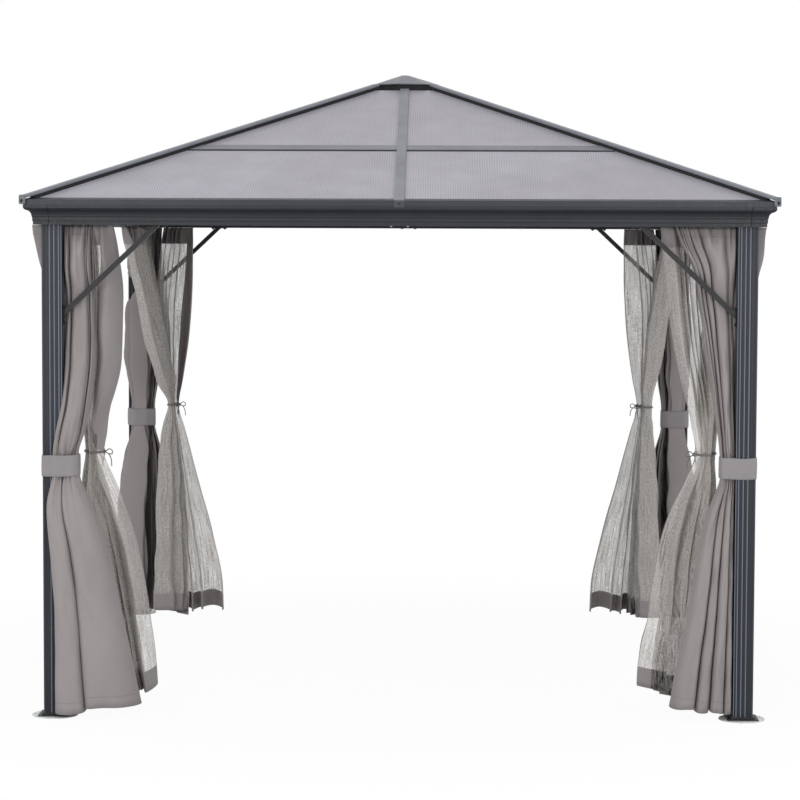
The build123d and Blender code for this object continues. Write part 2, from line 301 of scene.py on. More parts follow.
@dataclass(frozen=True)
class RoofSheet:
    """Twin-wall polycarbonate, with its walls running up the slope."""

    name: str
    along: FlutesAlong
    tone: Rgb = (179, 175, 183)
    pitch: float = 0.010

    def build(self) -> bpy.types.Material:
        """Makes the material: closed walls as faint lines, paler patches of painted sky reflection, a soft
        sheen and a hint of light let through.
        """
        g = Graph(self.name)
        place = g.place()
        x, y, _ = g.parts(place)
        cross = x if self.along is FlutesAlong.Y else y
        turn = g.times(cross, 2 * math.pi / self.pitch)
        wall = g.between(g.step("SINE", turn), 0.1, 0.9)
        base = linear(self.tone)
        line = shaded(base, 0.62, 0.62, 0.64)
        # The paler cloudy patches are painted reflection of the sky on the sheets.
        cloud = g.noise(g.stretched(place, (1.0, 1.0, 2.2)), 1.6, 4.0, 0.6)
        pale = shaded(base, 1.13, 1.13, 1.15)
        colour = g.blend(g.between(cloud, 0.42, 0.66), base, pale)
        patch = g.noise(g.stretched(place, (7.0, 7.0, 12.0)), 1.0, 3.0, 0.6)
        patch = g.between(patch, 0.35, 0.7, 0.35, 1.0)
        colour = g.blend(g.times(wall, g.times(patch, 0.75)), colour, line)
        haze = g.between(g.noise(place, 9.0, 3.0), 0.2, 0.8, 0.34, 0.46)
        normal = g.bump(wall, 0.0002, 0.5)
        skin = g.add("BsdfPrincipled", Base_Color=colour, Roughness=haze, Normal=normal)
        skin.inputs["Transmission Weight"].default_value = 0.12
        skin.inputs["IOR"].default_value = 1.58
        return g.close(skin.outputs[0])


@dataclass(frozen=True)
class Moulded:
    """Rubber or plastic, smooth from its mould."""

    name: str
    tone: Rgb
    gloss: float

    def build(self) -> bpy.types.Material:
        """Makes the material: a fine leathery grain and a little dust."""
        g = Graph(self.name)
        place = g.place()
        base = linear(self.tone)
        pale = (base[0] * 1.5 + 0.01, base[1] * 1.5 + 0.01, base[2] * 1.5 + 0.01, 1.0)
        dust = g.noise(place, 22.0, 5.0, 0.65)
        colour = g.blend(g.between(dust, 0.45, 0.8, 0.0, 0.6), base, pale)
        grain = g.noise(place, 1400.0, 2.0)
        normal = g.bump(grain, 0.00008, 0.5)
        rough = g.between(dust, 0.2, 0.8, self.gloss, self.gloss + 0.12)
        skin = g.add("BsdfPrincipled", Base_Color=colour, Roughness=rough, Normal=normal)
        return g.close(skin.outputs[0])


@dataclass(frozen=True)
class BareMetal:
    """Zinc-plated steel, as on foot plates and screw heads."""

    name: str
    tone: Rgb
    gloss: float = 0.36
    metallic: float = 0.85

    def build(self) -> bpy.types.Material:
        """Makes the material: brushed streaks and a cloudy plating."""
        g = Graph(self.name)
        place = g.place()
        base = linear(self.tone)
        dull = shaded(base, 0.72, 0.73, 0.75)
        cloud = g.noise(place, 35.0, 5.0, 0.65)
        brush = g.noise(g.stretched(place, (60.0, 900.0, 900.0)), 1.0, 2.0)
        colour = g.blend(g.between(cloud, 0.35, 0.7), base, dull)
        rough = g.between(brush, 0.2, 0.8, self.gloss - 0.08, self.gloss + 0.12)
        normal = g.bump(brush, 0.00003, 0.4)
        skin = g.add("BsdfPrincipled", Base_Color=colour, Roughness=rough, Normal=normal,
                     Metallic=self.metallic)
        return g.close(skin.outputs[0])


@dataclass(frozen=True)
class WovenCloth:
    """Plain-woven polyester, with its seams at the hem and the header."""

    name: str
    tone: Rgb
    drop: float = 1.947
    hem: float = 0.045
    thread: float = 0.0009

    def build(self) -> bpy.types.Material:
        """Makes the material: weave relief, slubs, hem stitching and sheen."""
        g = Graph(self.name)
        uv = g.cloth_uv()
        across, down, _ = g.parts(uv)
        place = g.place()
        warp = g.step("SINE", g.times(across, math.pi / self.thread))
        weft = g.step("SINE", g.times(down, math.pi / self.thread))
        weave = g.times(warp, weft)
        slub = g.noise(g.stretched(uv, (900.0, 60.0, 1.0)), 1.0, 2.0)
        slub_down = g.noise(g.stretched(uv, (60.0, 900.0, 1.0)), 1.0, 2.0)
        cloud = g.noise(place, 3.0, 3.0)
        base = linear(self.tone)
        deep = shaded(base, 0.84, 0.83, 0.82)
        pale = shaded(base, 1.10, 1.10, 1.11)
        colour = g.blend(g.between(cloud, 0.3, 0.7), base, pale)
        colour = g.blend(g.between(slub, 0.52, 0.75, 0.0, 0.5), colour, deep)
        colour = g.blend(g.between(slub_down, 0.52, 0.75, 0.0, 0.5), colour, deep)
        edge = g.step("ABSOLUTE", g.step("SUBTRACT", down, self.drop - self.hem))
        seam = g.between(edge, 0.0010, 0.0035, 1.0, 0.0)
        top = g.step("ABSOLUTE", g.step("SUBTRACT", down, 0.035))
        seam = g.step("MAXIMUM", seam, g.between(top, 0.0010, 0.0035, 1.0, 0.0))
        colour = g.blend(g.times(seam, 0.5), colour, deep)
        puckers = g.noise(g.stretched(uv, (70.0, 9.0, 1.0)), 1.0, 2.0)
        near = g.times(puckers, g.between(edge, 0.0, 0.05, 1.0, 0.0))
        height = g.step("ADD", g.times(weave, 0.5), g.times(slub, 0.8))
        normal = g.bump(height, 0.00012, 0.5)
        normal = g.bump(g.step("SUBTRACT", near, seam), 0.0012, 0.6, normal)
        skin = g.add("BsdfPrincipled", Base_Color=colour, Roughness=0.86, Normal=normal)
        skin.inputs["Sheen Weight"].default_value = 0.12
        skin.inputs["Sheen Roughness"].default_value = 0.45
        skin.inputs["Specular IOR Level"].default_value = 0.22
        return g.close(skin.outputs[0])


@dataclass(frozen=True)
class NetCloth:
    """Fine insect net, edged with woven cloth along its header, hem and free edge."""

    name: str
    tone: Rgb
    border_tone: Rgb
    width: float
    drop: float = 1.937
    header: float = 0.080
    hem: float = 0.085
    border: float = 0.13
    border_top: float = 0.13
    border_end: float = 3.0
    cover: float = 0.42
    mesh: float = 0.0016

    def build(self) -> bpy.types.Material:
        """Makes the material: a see-through mesh of threads that closes to cloth at its borders."""
        g = Graph(self.name)
        uv = g.cloth_uv()
        across, down, _ = g.parts(uv)
        warp = g.step("ABSOLUTE", g.step("SINE", g.times(across, math.pi / self.mesh)))
        weft = g.step("ABSOLUTE", g.step("SINE", g.times(down, math.pi / self.mesh)))
        threads = g.between(g.step("MINIMUM", warp, weft), 0.1, 0.5, 1.0, 0.0)
        streak = g.noise(g.stretched(uv, (160.0, 7.0, 1.0)), 1.0, 3.0, 0.6)
        speck = g.noise(g.stretched(uv, (420.0, 260.0, 1.0)), 1.0, 2.0, 0.6)
        veil = g.between(streak, 0.3, 0.7, self.cover * 0.55, self.cover * 1.45)
        cell = g.noise(g.stretched(uv, (150.0, 95.0, 1.0)), 1.0, 2.0, 0.6)
        veil = g.times(veil, g.between(cell, 0.35, 0.65, 0.7, 1.3))
        veil = g.step("ADD", veil, g.between(speck, 0.5, 0.75, 0.0, 0.10))
        veil = g.step("ADD", veil, g.times(threads, 0.05))
        top = g.between(down, self.header - 0.001, self.header + 0.001, 1.0, 0.0)
        low = g.between(down, self.drop - self.hem - 0.001, self.drop - self.hem + 0.001)
        strip = g.between(down, 0.10, 0.46, self.border_top, self.border)
        strip = g.times(strip, g.between(down, self.border_end - 0.03, self.border_end + 0.03, 1.0, 0.0))
        from_edge = g.step("SUBTRACT", self.width, across)
        edge = g.between(g.step("SUBTRACT", strip, from_edge), -0.001, 0.001)
        solid = g.step("MAXIMUM", g.step("MAXIMUM", top, low), edge)
        alpha = g.step("MAXIMUM", veil, solid)
        thread, cloth = linear(self.tone), linear(self.border_tone)
        deep = shaded(cloth, 0.82)
        slub = g.noise(g.stretched(uv, (900.0, 60.0, 1.0)), 1.0, 2.0)
        woven = g.blend(g.between(slub, 0.5, 0.75, 0.0, 0.5), cloth, deep)
        colour = g.blend(solid, thread, woven)
        normal = g.bump(g.step("ADD", slub, g.times(solid, 2.0)), 0.0002, 0.5)
        skin = g.add("BsdfPrincipled", Base_Color=colour, Roughness=0.8, Alpha=alpha, Normal=normal)
        skin.inputs["Sheen Weight"].default_value = 0.15
        skin.inputs["Specular IOR Level"].default_value = 0.2
        return g.close(skin.outputs[0])


def make_mesh(name: str, points: np.ndarray, faces: list[tuple[int, ...]], material: bpy.types.Material,
              uv: np.ndarray | None = None, smooth: bool = True) -> bpy.types.Object:
    """Makes a mesh object at the origin.

    Args:
        name: The piece's name.
        points: Vertex places, one row each.
        faces: Vertex numbers of each face, seen from outside anticlockwise.
        material: The finish.
        uv: A map place for each vertex, in metres, or None.
        smooth: Whether the faces are shaded smooth.

    Returns:
        The linked object.
    """
    mesh = bpy.data.meshes.new(name)
    mesh.from_pydata([tuple(p) for p in points], [], faces)
    if uv is not None:
        layer = mesh.uv_layers.new(name="cloth")
        index = np.zeros(len(mesh.loops), np.int32)
        mesh.loops.foreach_get("vertex_index", index)
        layer.data.foreach_set("uv", uv[index].astype(np.float32).ravel())
    mesh.materials.append(material)
    mesh.polygons.foreach_set("use_smooth", [smooth] * len(mesh.polygons))
    mesh.update()
    obj = bpy.data.objects.new(name, mesh)
    bpy.context.scene.collection.objects.link(obj)
    return obj


def turn_out(obj: bpy.types.Object) -> None:
    """Turns a closed shell's faces outwards if its volume is negative."""
    mesh = obj.data
    mesh.calc_loop_triangles()
    co = np.empty(len(mesh.vertices) * 3)
    mesh.vertices.foreach_get("co", co)
    tri = np.empty(len(mesh.loop_triangles) * 3, np.int32)
    mesh.loop_triangles.foreach_get("vertices", tri)
    a, b, c = (co.reshape(-1, 3)[tri.reshape(-1, 3)[:, i]] for i in range(3))
    if float((a * np.cross(b, c)).sum()) < 0:
        mesh.flip_normals()


def grid_faces(rows: int, columns: int, offset: int = 0, flip: bool = False) -> list[tuple[int, ...]]:
    """Quads over a grid of vertices, row after row."""
    faces = []
    for r in range(rows - 1):
        for c in range(columns - 1):
            a = offset + r * columns + c
            quad = (a, a + columns, a + columns + 1, a + 1)
            faces.append(quad[::-1] if flip else quad)
    return faces


def cloth_shell(grid: np.ndarray, thickness: float) -> tuple[np.ndarray, list[tuple[int, ...]]]:
    """Gives a grid of points its thickness and closes its rim.

    Args:
        grid: Points as rows by columns by 3.
        thickness: How thick the cloth is.

    Returns:
        The vertices of both skins, and the faces.
    """
    rows, columns = grid.shape[:2]
    down = np.gradient(grid, axis=0)
    side = np.gradient(grid, axis=1)
    normal = np.cross(down, side)
    normal /= np.maximum(np.linalg.norm(normal, axis=2, keepdims=True), 1e-9)
    count = rows * columns
    points = np.concatenate([(grid + normal * thickness / 2).reshape(-1, 3),
                             (grid - normal * thickness / 2).reshape(-1, 3)])
    faces = grid_faces(rows, columns) + grid_faces(rows, columns, count, True)
    rim = [(0, c) for c in range(columns)] + [(r, columns - 1) for r in range(1, rows)]
    rim += [(rows - 1, c) for c in range(columns - 2, -1, -1)] + [(r, 0) for r in range(rows - 2, 0, -1)]
    loop = [r * columns + c for r, c in rim]
    for a, b in zip(loop, loop[1:] + loop[:1]):
        faces.append((a, b, b + count, a + count))
    return points, faces


def eased(x: np.ndarray, knots: np.ndarray, values: np.ndarray) -> np.ndarray:
    """Smooth interpolation that doesn't overshoot its knots.

    Args:
        x: Where to read the curve.
        knots: Increasing places of the known values.
        values: The known values, one row for each knot.

    Returns:
        The curve's values at x.
    """
    values = values.reshape(len(knots), -1)
    step = np.diff(knots)[:, None]
    slope = np.diff(values, axis=0) / step
    lean = np.zeros_like(values)
    same = slope[:-1] * slope[1:] > 0
    first = 2 * step[1:] + step[:-1]
    second = step[1:] + 2 * step[:-1]
    with np.errstate(divide="ignore", invalid="ignore"):
        middle = (first + second) / (first / slope[:-1] + second / slope[1:])
    lean[1:-1] = np.where(same, middle, 0.0)
    lean[0], lean[-1] = slope[0], slope[-1]
    k = np.clip(np.searchsorted(knots, x) - 1, 0, len(knots) - 2)
    h = step[k]
    f = ((x - knots[k]) / (knots[k + 1] - knots[k]))[:, None]
    return ((1 + 2 * f) * (1 - f) ** 2 * values[k] + f * (1 - f) ** 2 * h * lean[k]
            + f * f * (3 - 2 * f) * values[k + 1] + f * f * (f - 1) * h * lean[k + 1])


def faded(x: np.ndarray, low: float, high: float) -> np.ndarray:
    """A smooth step from 0 at low to 1 at high."""
    f = np.clip((x - low) / (high - low), 0, 1)
    return f * f * (3 - 2 * f)


class Corner(Enum):
    """A corner of the plan, with the signs of its X and Y."""

    FRONT_LEFT = (-1, -1)
    FRONT_RIGHT = (1, -1)
    BACK_RIGHT = (1, 1)
    BACK_LEFT = (-1, 1)

    @property
    def word(self) -> str:
        """The corner's name as pieces use it."""
        return self.name.lower()


def net_tie(corner: Corner) -> float:
    """How high the nets of a corner are tied."""
    return FRONT_NET_TIE if corner.value[1] < 0 else BACK_NET_TIE


@dataclass(frozen=True)
class Station:
    """Where a hung cloth lies at one height.

    The ends are plan places, and depth is how far its folds stand out on either side.
    """

    z: float
    start: Pair
    end: Pair
    depth: float


@dataclass(frozen=True)
class Crease:
    """A line pressed into a cloth, between two places given as (share across, height)."""

    start: Pair
    end: Pair
    width: float
    depth: float


@dataclass
class HungCloth:
    """A cloth gathered at its header and at its tie, as folds that run from top to hem."""

    stations: tuple[Station, ...]
    facing: Pair
    folds: Folds
    tie: float
    seed: int
    width: float = 1.3
    columns: int = 150
    rows: int = 84
    thickness: float = 0.0012
    pleats: int = 13
    pleat_depth: float = 0.008
    wrinkle: float = 0.005
    waver: float = 0.35
    bulge: float = 0.35
    flat_top: float = 1.7
    hem_lift: Pair = (0.0, 0.0)
    near_start: float = 1.0
    gathered: float = 0.13
    fold_run: float = 0.16
    looseness: float = 0.0028
    crease_scale: float = 0.3
    creases: tuple[Crease, ...] = ()

    def heights(self) -> np.ndarray:
        """Row heights from header to hem, closer together at the header and the tie."""
        top, low = self.stations[0].z, self.stations[-1].z
        z = np.linspace(top, low, 1200)
        weight = 1 + 1.6 * np.exp(-((z - self.tie) / 0.10) ** 2) + 1.2 * np.exp(-((top - z) / 0.10) ** 2)
        run = np.concatenate([[0], np.cumsum((weight[1:] + weight[:-1]) / 2)])
        return np.interp(np.linspace(0, run[-1], self.rows), run, z)

    def folded(self, shares: tuple[float, ...], reach: tuple[float, ...], t: np.ndarray,
               shift: np.ndarray) -> tuple[np.ndarray, np.ndarray]:
        """The fold wave of one set of folds.

        Args:
            shares: How much of the width each fold takes.
            reach: How far each fold stands out, as a share of the full depth.
            t: Places across the cloth, from 0 to 1.
            shift: How far the fold lines wander, as an angle.

        Returns:
            Places along the gathered width, and the wave from -1 at a valley to 1 at a ridge.
        """
        count = len(shares)
        run = np.array(shares) / sum(shares) * self.gathered + np.array(reach) * self.fold_run
        knots = np.concatenate([[0], np.cumsum(run)]) / run.sum()
        total = np.concatenate([[0], np.cumsum(shares)]) / sum(shares)
        along = eased(t.ravel(), knots, total)[:, 0].reshape(t.shape)
        turn = 2 * math.pi * np.interp(t, knots, np.arange(count + 1)) + shift * np.sin(math.pi * t)
        local = np.interp(t, (knots[1:] + knots[:-1]) / 2, np.array(shares) / sum(shares))
        which = np.clip(np.floor(turn / (2 * math.pi)).astype(int), 0, count - 1)
        wave = 2 * np.array(reach)[which] * (1 - ((1 - np.cos(turn + math.pi)) / 2) ** self.flat_top) - 1
        sway = -self.bulge * np.sin(turn) * local * 0.55 - self.bulge * 0.5 * np.sin(2 * turn) * local * 0.5
        return along + sway, wave

    def waves(self, zz: np.ndarray, tt: np.ndarray,
              rng: np.random.Generator) -> tuple[np.ndarray, np.ndarray]:
        """The folds above and below the tie, joined smoothly: places across, and the wave."""
        shift = sum(self.waver * rng.uniform(0.4, 1) * np.sin(2 * math.pi * (k * zz / 2 + rng.uniform()))
                    for k in (0.7, 1.6, 3.1))
        up_along, up_wave = self.folded(self.folds.upper, self.folds.upper_reach, tt, shift)
        low_along, low_wave = self.folded(self.folds.lower, self.folds.lower_reach, tt, shift)
        share = faded(zz, self.tie - 0.09, self.tie + 0.09)
        return low_along + (up_along - low_along) * share, low_wave + (up_wave - low_wave) * share

    def ruffles(self, zz: np.ndarray, tt: np.ndarray, rng: np.random.Generator) -> np.ndarray:
        """Header pleats, wrinkles pinched by the tie, and the slack cloth's own unevenness."""
        header, tie = self.stations[0].z - zz, np.abs(zz - self.tie)
        pleat = self.pleat_depth * np.exp(-(header / 0.13) ** 2)
        pleats = np.sin(2 * math.pi * self.pleats * tt + 1.2 * np.sin(7 * tt + rng.uniform(0, 6)))
        pinch = self.wrinkle * np.exp(-tie / 0.085) + 0.3 * self.wrinkle * np.exp(-tie / 0.30)
        fine = np.sin(2 * math.pi * 17 * tt + 1.5 * np.sin(9 * tt + rng.uniform(0, 6)) + 2.2 * zz)
        fine += 0.6 * np.sin(2 * math.pi * 29 * tt + rng.uniform(0, 6) - 3.1 * zz)
        loose = sum(rng.uniform(0.5, 1) * np.sin(2 * math.pi * (k * tt + m * zz + rng.uniform()))
                    for k, m in ((2.2, 1.1), (3.4, -1.7), (5.1, 2.3), (1.1, 3.4), (7.7, -4.5), (9.3, 5.5)))
        return pleat * pleats + pinch * fine + self.looseness * loose

    def pressed(self, zz: np.ndarray, tt: np.ndarray) -> np.ndarray:
        """How far the creases press the cloth in."""
        depth = np.zeros_like(zz)
        for crease in self.creases:
            (t0, z0), (t1, z1) = crease.start, crease.end
            span = np.array([(t1 - t0) * self.crease_scale, z1 - z0])
            rel_t, rel_z = (tt - t0) * self.crease_scale, zz - z0
            f = np.clip((rel_t * span[0] + rel_z * span[1]) / (span @ span), 0, 1)
            away = np.hypot(rel_t - f * span[0], rel_z - f * span[1])
            fade = np.sin(math.pi * np.clip(f, 0.08, 0.92))
            depth += crease.depth * np.exp(-(away / crease.width) ** 2) * fade
        return depth

    def grid(self) -> np.ndarray:
        """The cloth's points, as rows by columns by 3."""
        rng = np.random.default_rng(self.seed)
        z = self.heights()
        zz, tt = np.meshgrid(z, np.linspace(0, 1, self.columns), indexing="ij")
        order = self.stations[::-1]
        table = np.array([[*s.start, *s.end, s.depth] for s in order])
        at = eased(z, np.array([s.z for s in order]), table)[:, None, :]
        along, wave = self.waves(zz, tt, rng)
        swell = 1 + 0.22 * sum(np.sin(2 * math.pi * (k * tt + m * zz + rng.uniform()))
                               for k, m in ((1.3, 0.35), (2.7, -0.5), (4.3, 0.8))) / 3
        depth = at[..., 4] * swell * (self.near_start + (1 - self.near_start) * faded(tt, 0.0, 0.35))
        out = depth * wave + self.ruffles(zz, tt, rng) - self.pressed(zz, tt)
        start, end = at[..., 0:2], at[..., 2:4]
        plan = start + (end - start) * along[..., None] + np.array(self.facing) * out[..., None]
        low = self.stations[-1].z
        lift = self.hem_lift[0] + (self.hem_lift[1] - self.hem_lift[0]) * tt
        lift = lift + 0.005 * (1 + np.sin(2 * math.pi * 2.3 * tt + rng.uniform(0, 6)))
        return np.concatenate([plan, (zz + lift * faded(zz, low + 0.45, low))[..., None]], axis=2)

    def cloth_map(self) -> np.ndarray:
        """Map places in metres across and down, for one skin."""
        z = self.heights()
        places = np.linspace(0, self.width, self.columns)
        down, across = np.meshgrid(self.stations[0].z - z, places, indexing="ij")
        return np.stack([across.ravel(), down.ravel()], axis=1)


@dataclass(frozen=True)
class Clearance:
    """Keeps cloth out of the post, the braces and the other half of its corner."""

    corner: Corner
    post_out: float = 1.4225
    post_in: float = 1.3375
    brace_foot: float = 1.616
    brace_rise: float = 0.944
    brace_half: float = 0.013
    brace_far: float = 0.075
    brace_back: float = 1.3685

    def apply(self, grid: np.ndarray, on_front: bool, keep_half: bool) -> np.ndarray:
        """Moves points that are inside something to its surface.

        Args:
            grid: The cloth's points.
            on_front: Whether the cloth hangs on the front or back side, rather than left or right.
            keep_half: Whether the cloth stays on its own side of the corner's diagonal.

        Returns:
            The moved points.
        """
        sx, sy = self.corner.value
        p = grid.copy()
        p[..., 0] *= sx
        p[..., 1] *= sy
        if not on_front:
            p[..., [0, 1]] = p[..., [1, 0]]
        x, y, z = p[..., 0].copy(), p[..., 1].copy(), p[..., 2]
        line = self.brace_foot + (self.post_in - x) * self.brace_rise
        near = faded(np.abs(z - line), self.brace_far, self.brace_half + 0.004) * (x < self.post_in + 0.004)
        y = y - np.maximum(y - (self.brace_back - 0.003), 0) * near
        if keep_half:
            cross = np.maximum(x - y + 0.006, 0) / 2
            x, y = x - cross, y + cross
        inside = (x > self.post_in) & (x < self.post_out) & (y > self.post_in) & (y < self.post_out)
        to_front = (self.post_out - y)
        to_side = (x - self.post_in)
        y = np.where(inside & (to_front <= to_side), self.post_out, y)
        x = np.where(inside & (to_front > to_side), self.post_in, x)
        p[..., 0], p[..., 1] = x, y
        if not on_front:
            p[..., [0, 1]] = p[..., [1, 0]]
        p[..., 0] *= sx
        p[..., 1] *= sy
        return p


def carried(stations: tuple[Station, ...], corner: Corner, swap: bool) -> tuple[Station, ...]:
    """Stations given for the front left corner, carried to another corner or to its other side.

    Args:
        stations: Stations with distances from the middle, as positive numbers.
        corner: The corner that they go to.
        swap: Whether the cloth hangs on the left or right side.

    Returns:
        Stations in plan places.
    """
    sx, sy = corner.value

    def move(p: Pair) -> Pair:
        """One plan place at the corner."""
        a, b = (p[1], p[0]) if swap else p
        return (a * sx, b * sy)

    return tuple(Station(s.z, move(s.start), move(s.end), s.depth) for s in stations)


def rows_of(*rows: tuple[float, float, float, float, float, float]) -> tuple[Station, ...]:
    """Stations from rows of height, start, end and fold depth."""
    return tuple(Station(z, (ax, ay), (bx, by), d) for z, ax, ay, bx, by, d in rows)


# Where each cloth lies, given for the front left corner as distances from the middle of the plan: height,
# the end by the post, the free end, and how deep the folds are. The first row is the header, the last the hem.
FRONT_CURTAIN = rows_of(
    (1.969, 1.334, 1.352, 1.236, 1.352, 0.014), (1.90, 1.334, 1.362, 1.237, 1.358, 0.040),
    (1.80, 1.334, 1.362, 1.238, 1.352, 0.050), (1.70, 1.333, 1.322, 1.232, 1.318, 0.046),
    (1.60, 1.333, 1.318, 1.228, 1.314, 0.048), (1.45, 1.334, 1.350, 1.225, 1.338, 0.056),
    (1.27, 1.342, 1.402, 1.241, 1.368, 0.055), (1.14, 1.366, 1.430, 1.262, 1.385, 0.042),
    (1.055, 1.374, 1.438, 1.284, 1.395, 0.026), (0.985, 1.374, 1.438, 1.284, 1.395, 0.026),
    (0.85, 1.396, 1.452, 1.237, 1.400, 0.042), (0.66, 1.380, 1.466, 1.176, 1.402, 0.056),
    (0.40, 1.360, 1.474, 1.122, 1.396, 0.064), (0.022, 1.357, 1.482, 1.052, 1.388, 0.068))

BACK_CURTAIN = rows_of(
    (1.969, 1.334, 1.352, 1.248, 1.352, 0.014), (1.88, 1.334, 1.345, 1.252, 1.345, 0.046),
    (1.60, 1.334, 1.325, 1.255, 1.325, 0.052), (1.35, 1.334, 1.322, 1.256, 1.322, 0.056),
    (1.20, 1.334, 1.322, 1.266, 1.322, 0.050), (1.075, 1.334, 1.320, 1.284, 1.320, 0.030),
    (0.985, 1.334, 1.320, 1.286, 1.320, 0.030), (0.84, 1.334, 1.318, 1.250, 1.316, 0.050),
    (0.64, 1.345, 1.314, 1.222, 1.310, 0.060), (0.40, 1.350, 1.310, 1.216, 1.306, 0.066),
    (0.022, 1.345, 1.304, 1.196, 1.300, 0.068))

REAR_SIDE_CURTAIN = rows_of(
    (1.969, 1.334, 1.352, 1.248, 1.352, 0.014), (1.88, 1.334, 1.362, 1.246, 1.360, 0.050),
    (1.60, 1.334, 1.368, 1.236, 1.364, 0.058), (1.35, 1.334, 1.368, 1.230, 1.364, 0.058),
    (1.20, 1.334, 1.362, 1.244, 1.360, 0.050), (1.075, 1.334, 1.360, 1.270, 1.358, 0.034),
    (0.985, 1.334, 1.360, 1.272, 1.358, 0.034), (0.84, 1.334, 1.374, 1.236, 1.368, 0.052),
    (0.64, 1.334, 1.400, 1.200, 1.384, 0.062), (0.40, 1.334, 1.408, 1.180, 1.390, 0.066),
    (0.022, 1.330, 1.396, 1.150, 1.380, 0.068))

FRONT_NET = rows_of(
    (1.969, 1.250, 1.322, 1.152, 1.322, 0.012), (1.88, 1.246, 1.300, 1.142, 1.285, 0.040),
    (1.70, 1.246, 1.275, 1.125, 1.255, 0.046), (1.545, 1.247, 1.262, 1.130, 1.245, 0.048),
    (1.42, 1.250, 1.252, 1.135, 1.236, 0.046), (1.30, 1.263, 1.242, 1.162, 1.222, 0.040),
    (1.14, 1.286, 1.222, 1.214, 1.206, 0.026), (1.05, 1.296, 1.214, 1.232, 1.200, 0.014),
    (0.97, 1.304, 1.212, 1.205, 1.192, 0.028), (0.86, 1.298, 1.208, 1.152, 1.178, 0.046),
    (0.68, 1.262, 1.196, 1.088, 1.156, 0.062), (0.38, 1.205, 1.180, 1.040, 1.126, 0.072),
    (0.10, 1.150, 1.168, 1.012, 1.100, 0.078), (0.032, 1.120, 1.165, 1.008, 1.098, 0.078))

BACK_NET = rows_of(
    (1.969, 1.236, 1.322, 1.092, 1.322, 0.012), (1.88, 1.244, 1.290, 1.086, 1.290, 0.040),
    (1.74, 1.268, 1.262, 1.086, 1.262, 0.048), (1.55, 1.292, 1.240, 1.092, 1.240, 0.050),
    (1.42, 1.288, 1.226, 1.102, 1.226, 0.048), (1.22, 1.240, 1.206, 1.128, 1.206, 0.038),
    (1.085, 1.205, 1.196, 1.150, 1.196, 0.014), (0.96, 1.216, 1.190, 1.116, 1.186, 0.032),
    (0.71, 1.240, 1.176, 1.050, 1.166, 0.056), (0.44, 1.250, 1.166, 0.976, 1.150, 0.066),
    (0.15, 1.246, 1.156, 0.925, 1.140, 0.070), (0.032, 1.240, 1.154, 0.922, 1.138, 0.070))

SWEPT_NET = rows_of(
    (1.969, 1.322, 1.270, 1.322, 0.340, 0.016), (1.88, 1.318, 1.262, 1.308, 0.390, 0.024),
    (1.73, 1.296, 1.250, 1.286, 0.480, 0.032), (1.54, 1.262, 1.238, 1.262, 0.610, 0.036),
    (1.35, 1.226, 1.222, 1.236, 0.800, 0.038), (1.20, 1.190, 1.208, 1.212, 0.980, 0.034),
    (1.085, 1.160, 1.196, 1.192, 1.140, 0.016), (0.96, 1.136, 1.200, 1.208, 1.120, 0.034),
    (0.75, 1.096, 1.206, 1.218, 1.086, 0.054), (0.44, 1.050, 1.212, 1.226, 1.056, 0.062),
    (0.15, 1.030, 1.216, 1.228, 1.040, 0.066), (0.032, 1.028, 1.216, 1.226, 1.040, 0.066))

RIGHT_CURTAIN = rows_of(
    (1.969, 1.334, 1.352, 1.100, 1.352, 0.014), (1.90, 1.334, 1.360, 1.125, 1.355, 0.040),
    (1.80, 1.334, 1.355, 1.177, 1.348, 0.046), (1.70, 1.334, 1.322, 1.195, 1.318, 0.046),
    (1.60, 1.334, 1.318, 1.214, 1.314, 0.050), (1.42, 1.334, 1.335, 1.242, 1.330, 0.055),
    (1.216, 1.334, 1.360, 1.268, 1.350, 0.050), (1.08, 1.336, 1.380, 1.283, 1.370, 0.034),
    (0.985, 1.337, 1.385, 1.288, 1.372, 0.030), (0.82, 1.337, 1.385, 1.236, 1.375, 0.045),
    (0.62, 1.337, 1.390, 1.198, 1.375, 0.056), (0.416, 1.335, 1.395, 1.167, 1.378, 0.064),
    (0.24, 1.334, 1.400, 1.133, 1.380, 0.068), (0.022, 1.333, 1.400, 1.100, 1.380, 0.070))

SIDE_CURTAIN = rows_of(
    (1.969, 1.334, 1.432, 1.236, 1.346, 0.050), (1.93, 1.334, 1.430, 1.240, 1.350, 0.052),
    (1.88, 1.335, 1.424, 1.240, 1.350, 0.052), (1.80, 1.334, 1.404, 1.238, 1.348, 0.050),
    (1.70, 1.333, 1.368, 1.232, 1.340, 0.048), (1.60, 1.333, 1.345, 1.228, 1.335, 0.055),
    (1.45, 1.334, 1.352, 1.225, 1.340, 0.056), (1.27, 1.334, 1.360, 1.241, 1.350, 0.050),
    (1.14, 1.334, 1.372, 1.262, 1.360, 0.038), (1.055, 1.334, 1.380, 1.284, 1.370, 0.026),
    (0.985, 1.334, 1.380, 1.284, 1.370, 0.026), (0.85, 1.334, 1.372, 1.250, 1.360, 0.040),
    (0.66, 1.330, 1.360, 1.190, 1.352, 0.050), (0.40, 1.320, 1.355, 1.130, 1.345, 0.058),
    (0.022, 1.310, 1.352, 1.060, 1.340, 0.062))

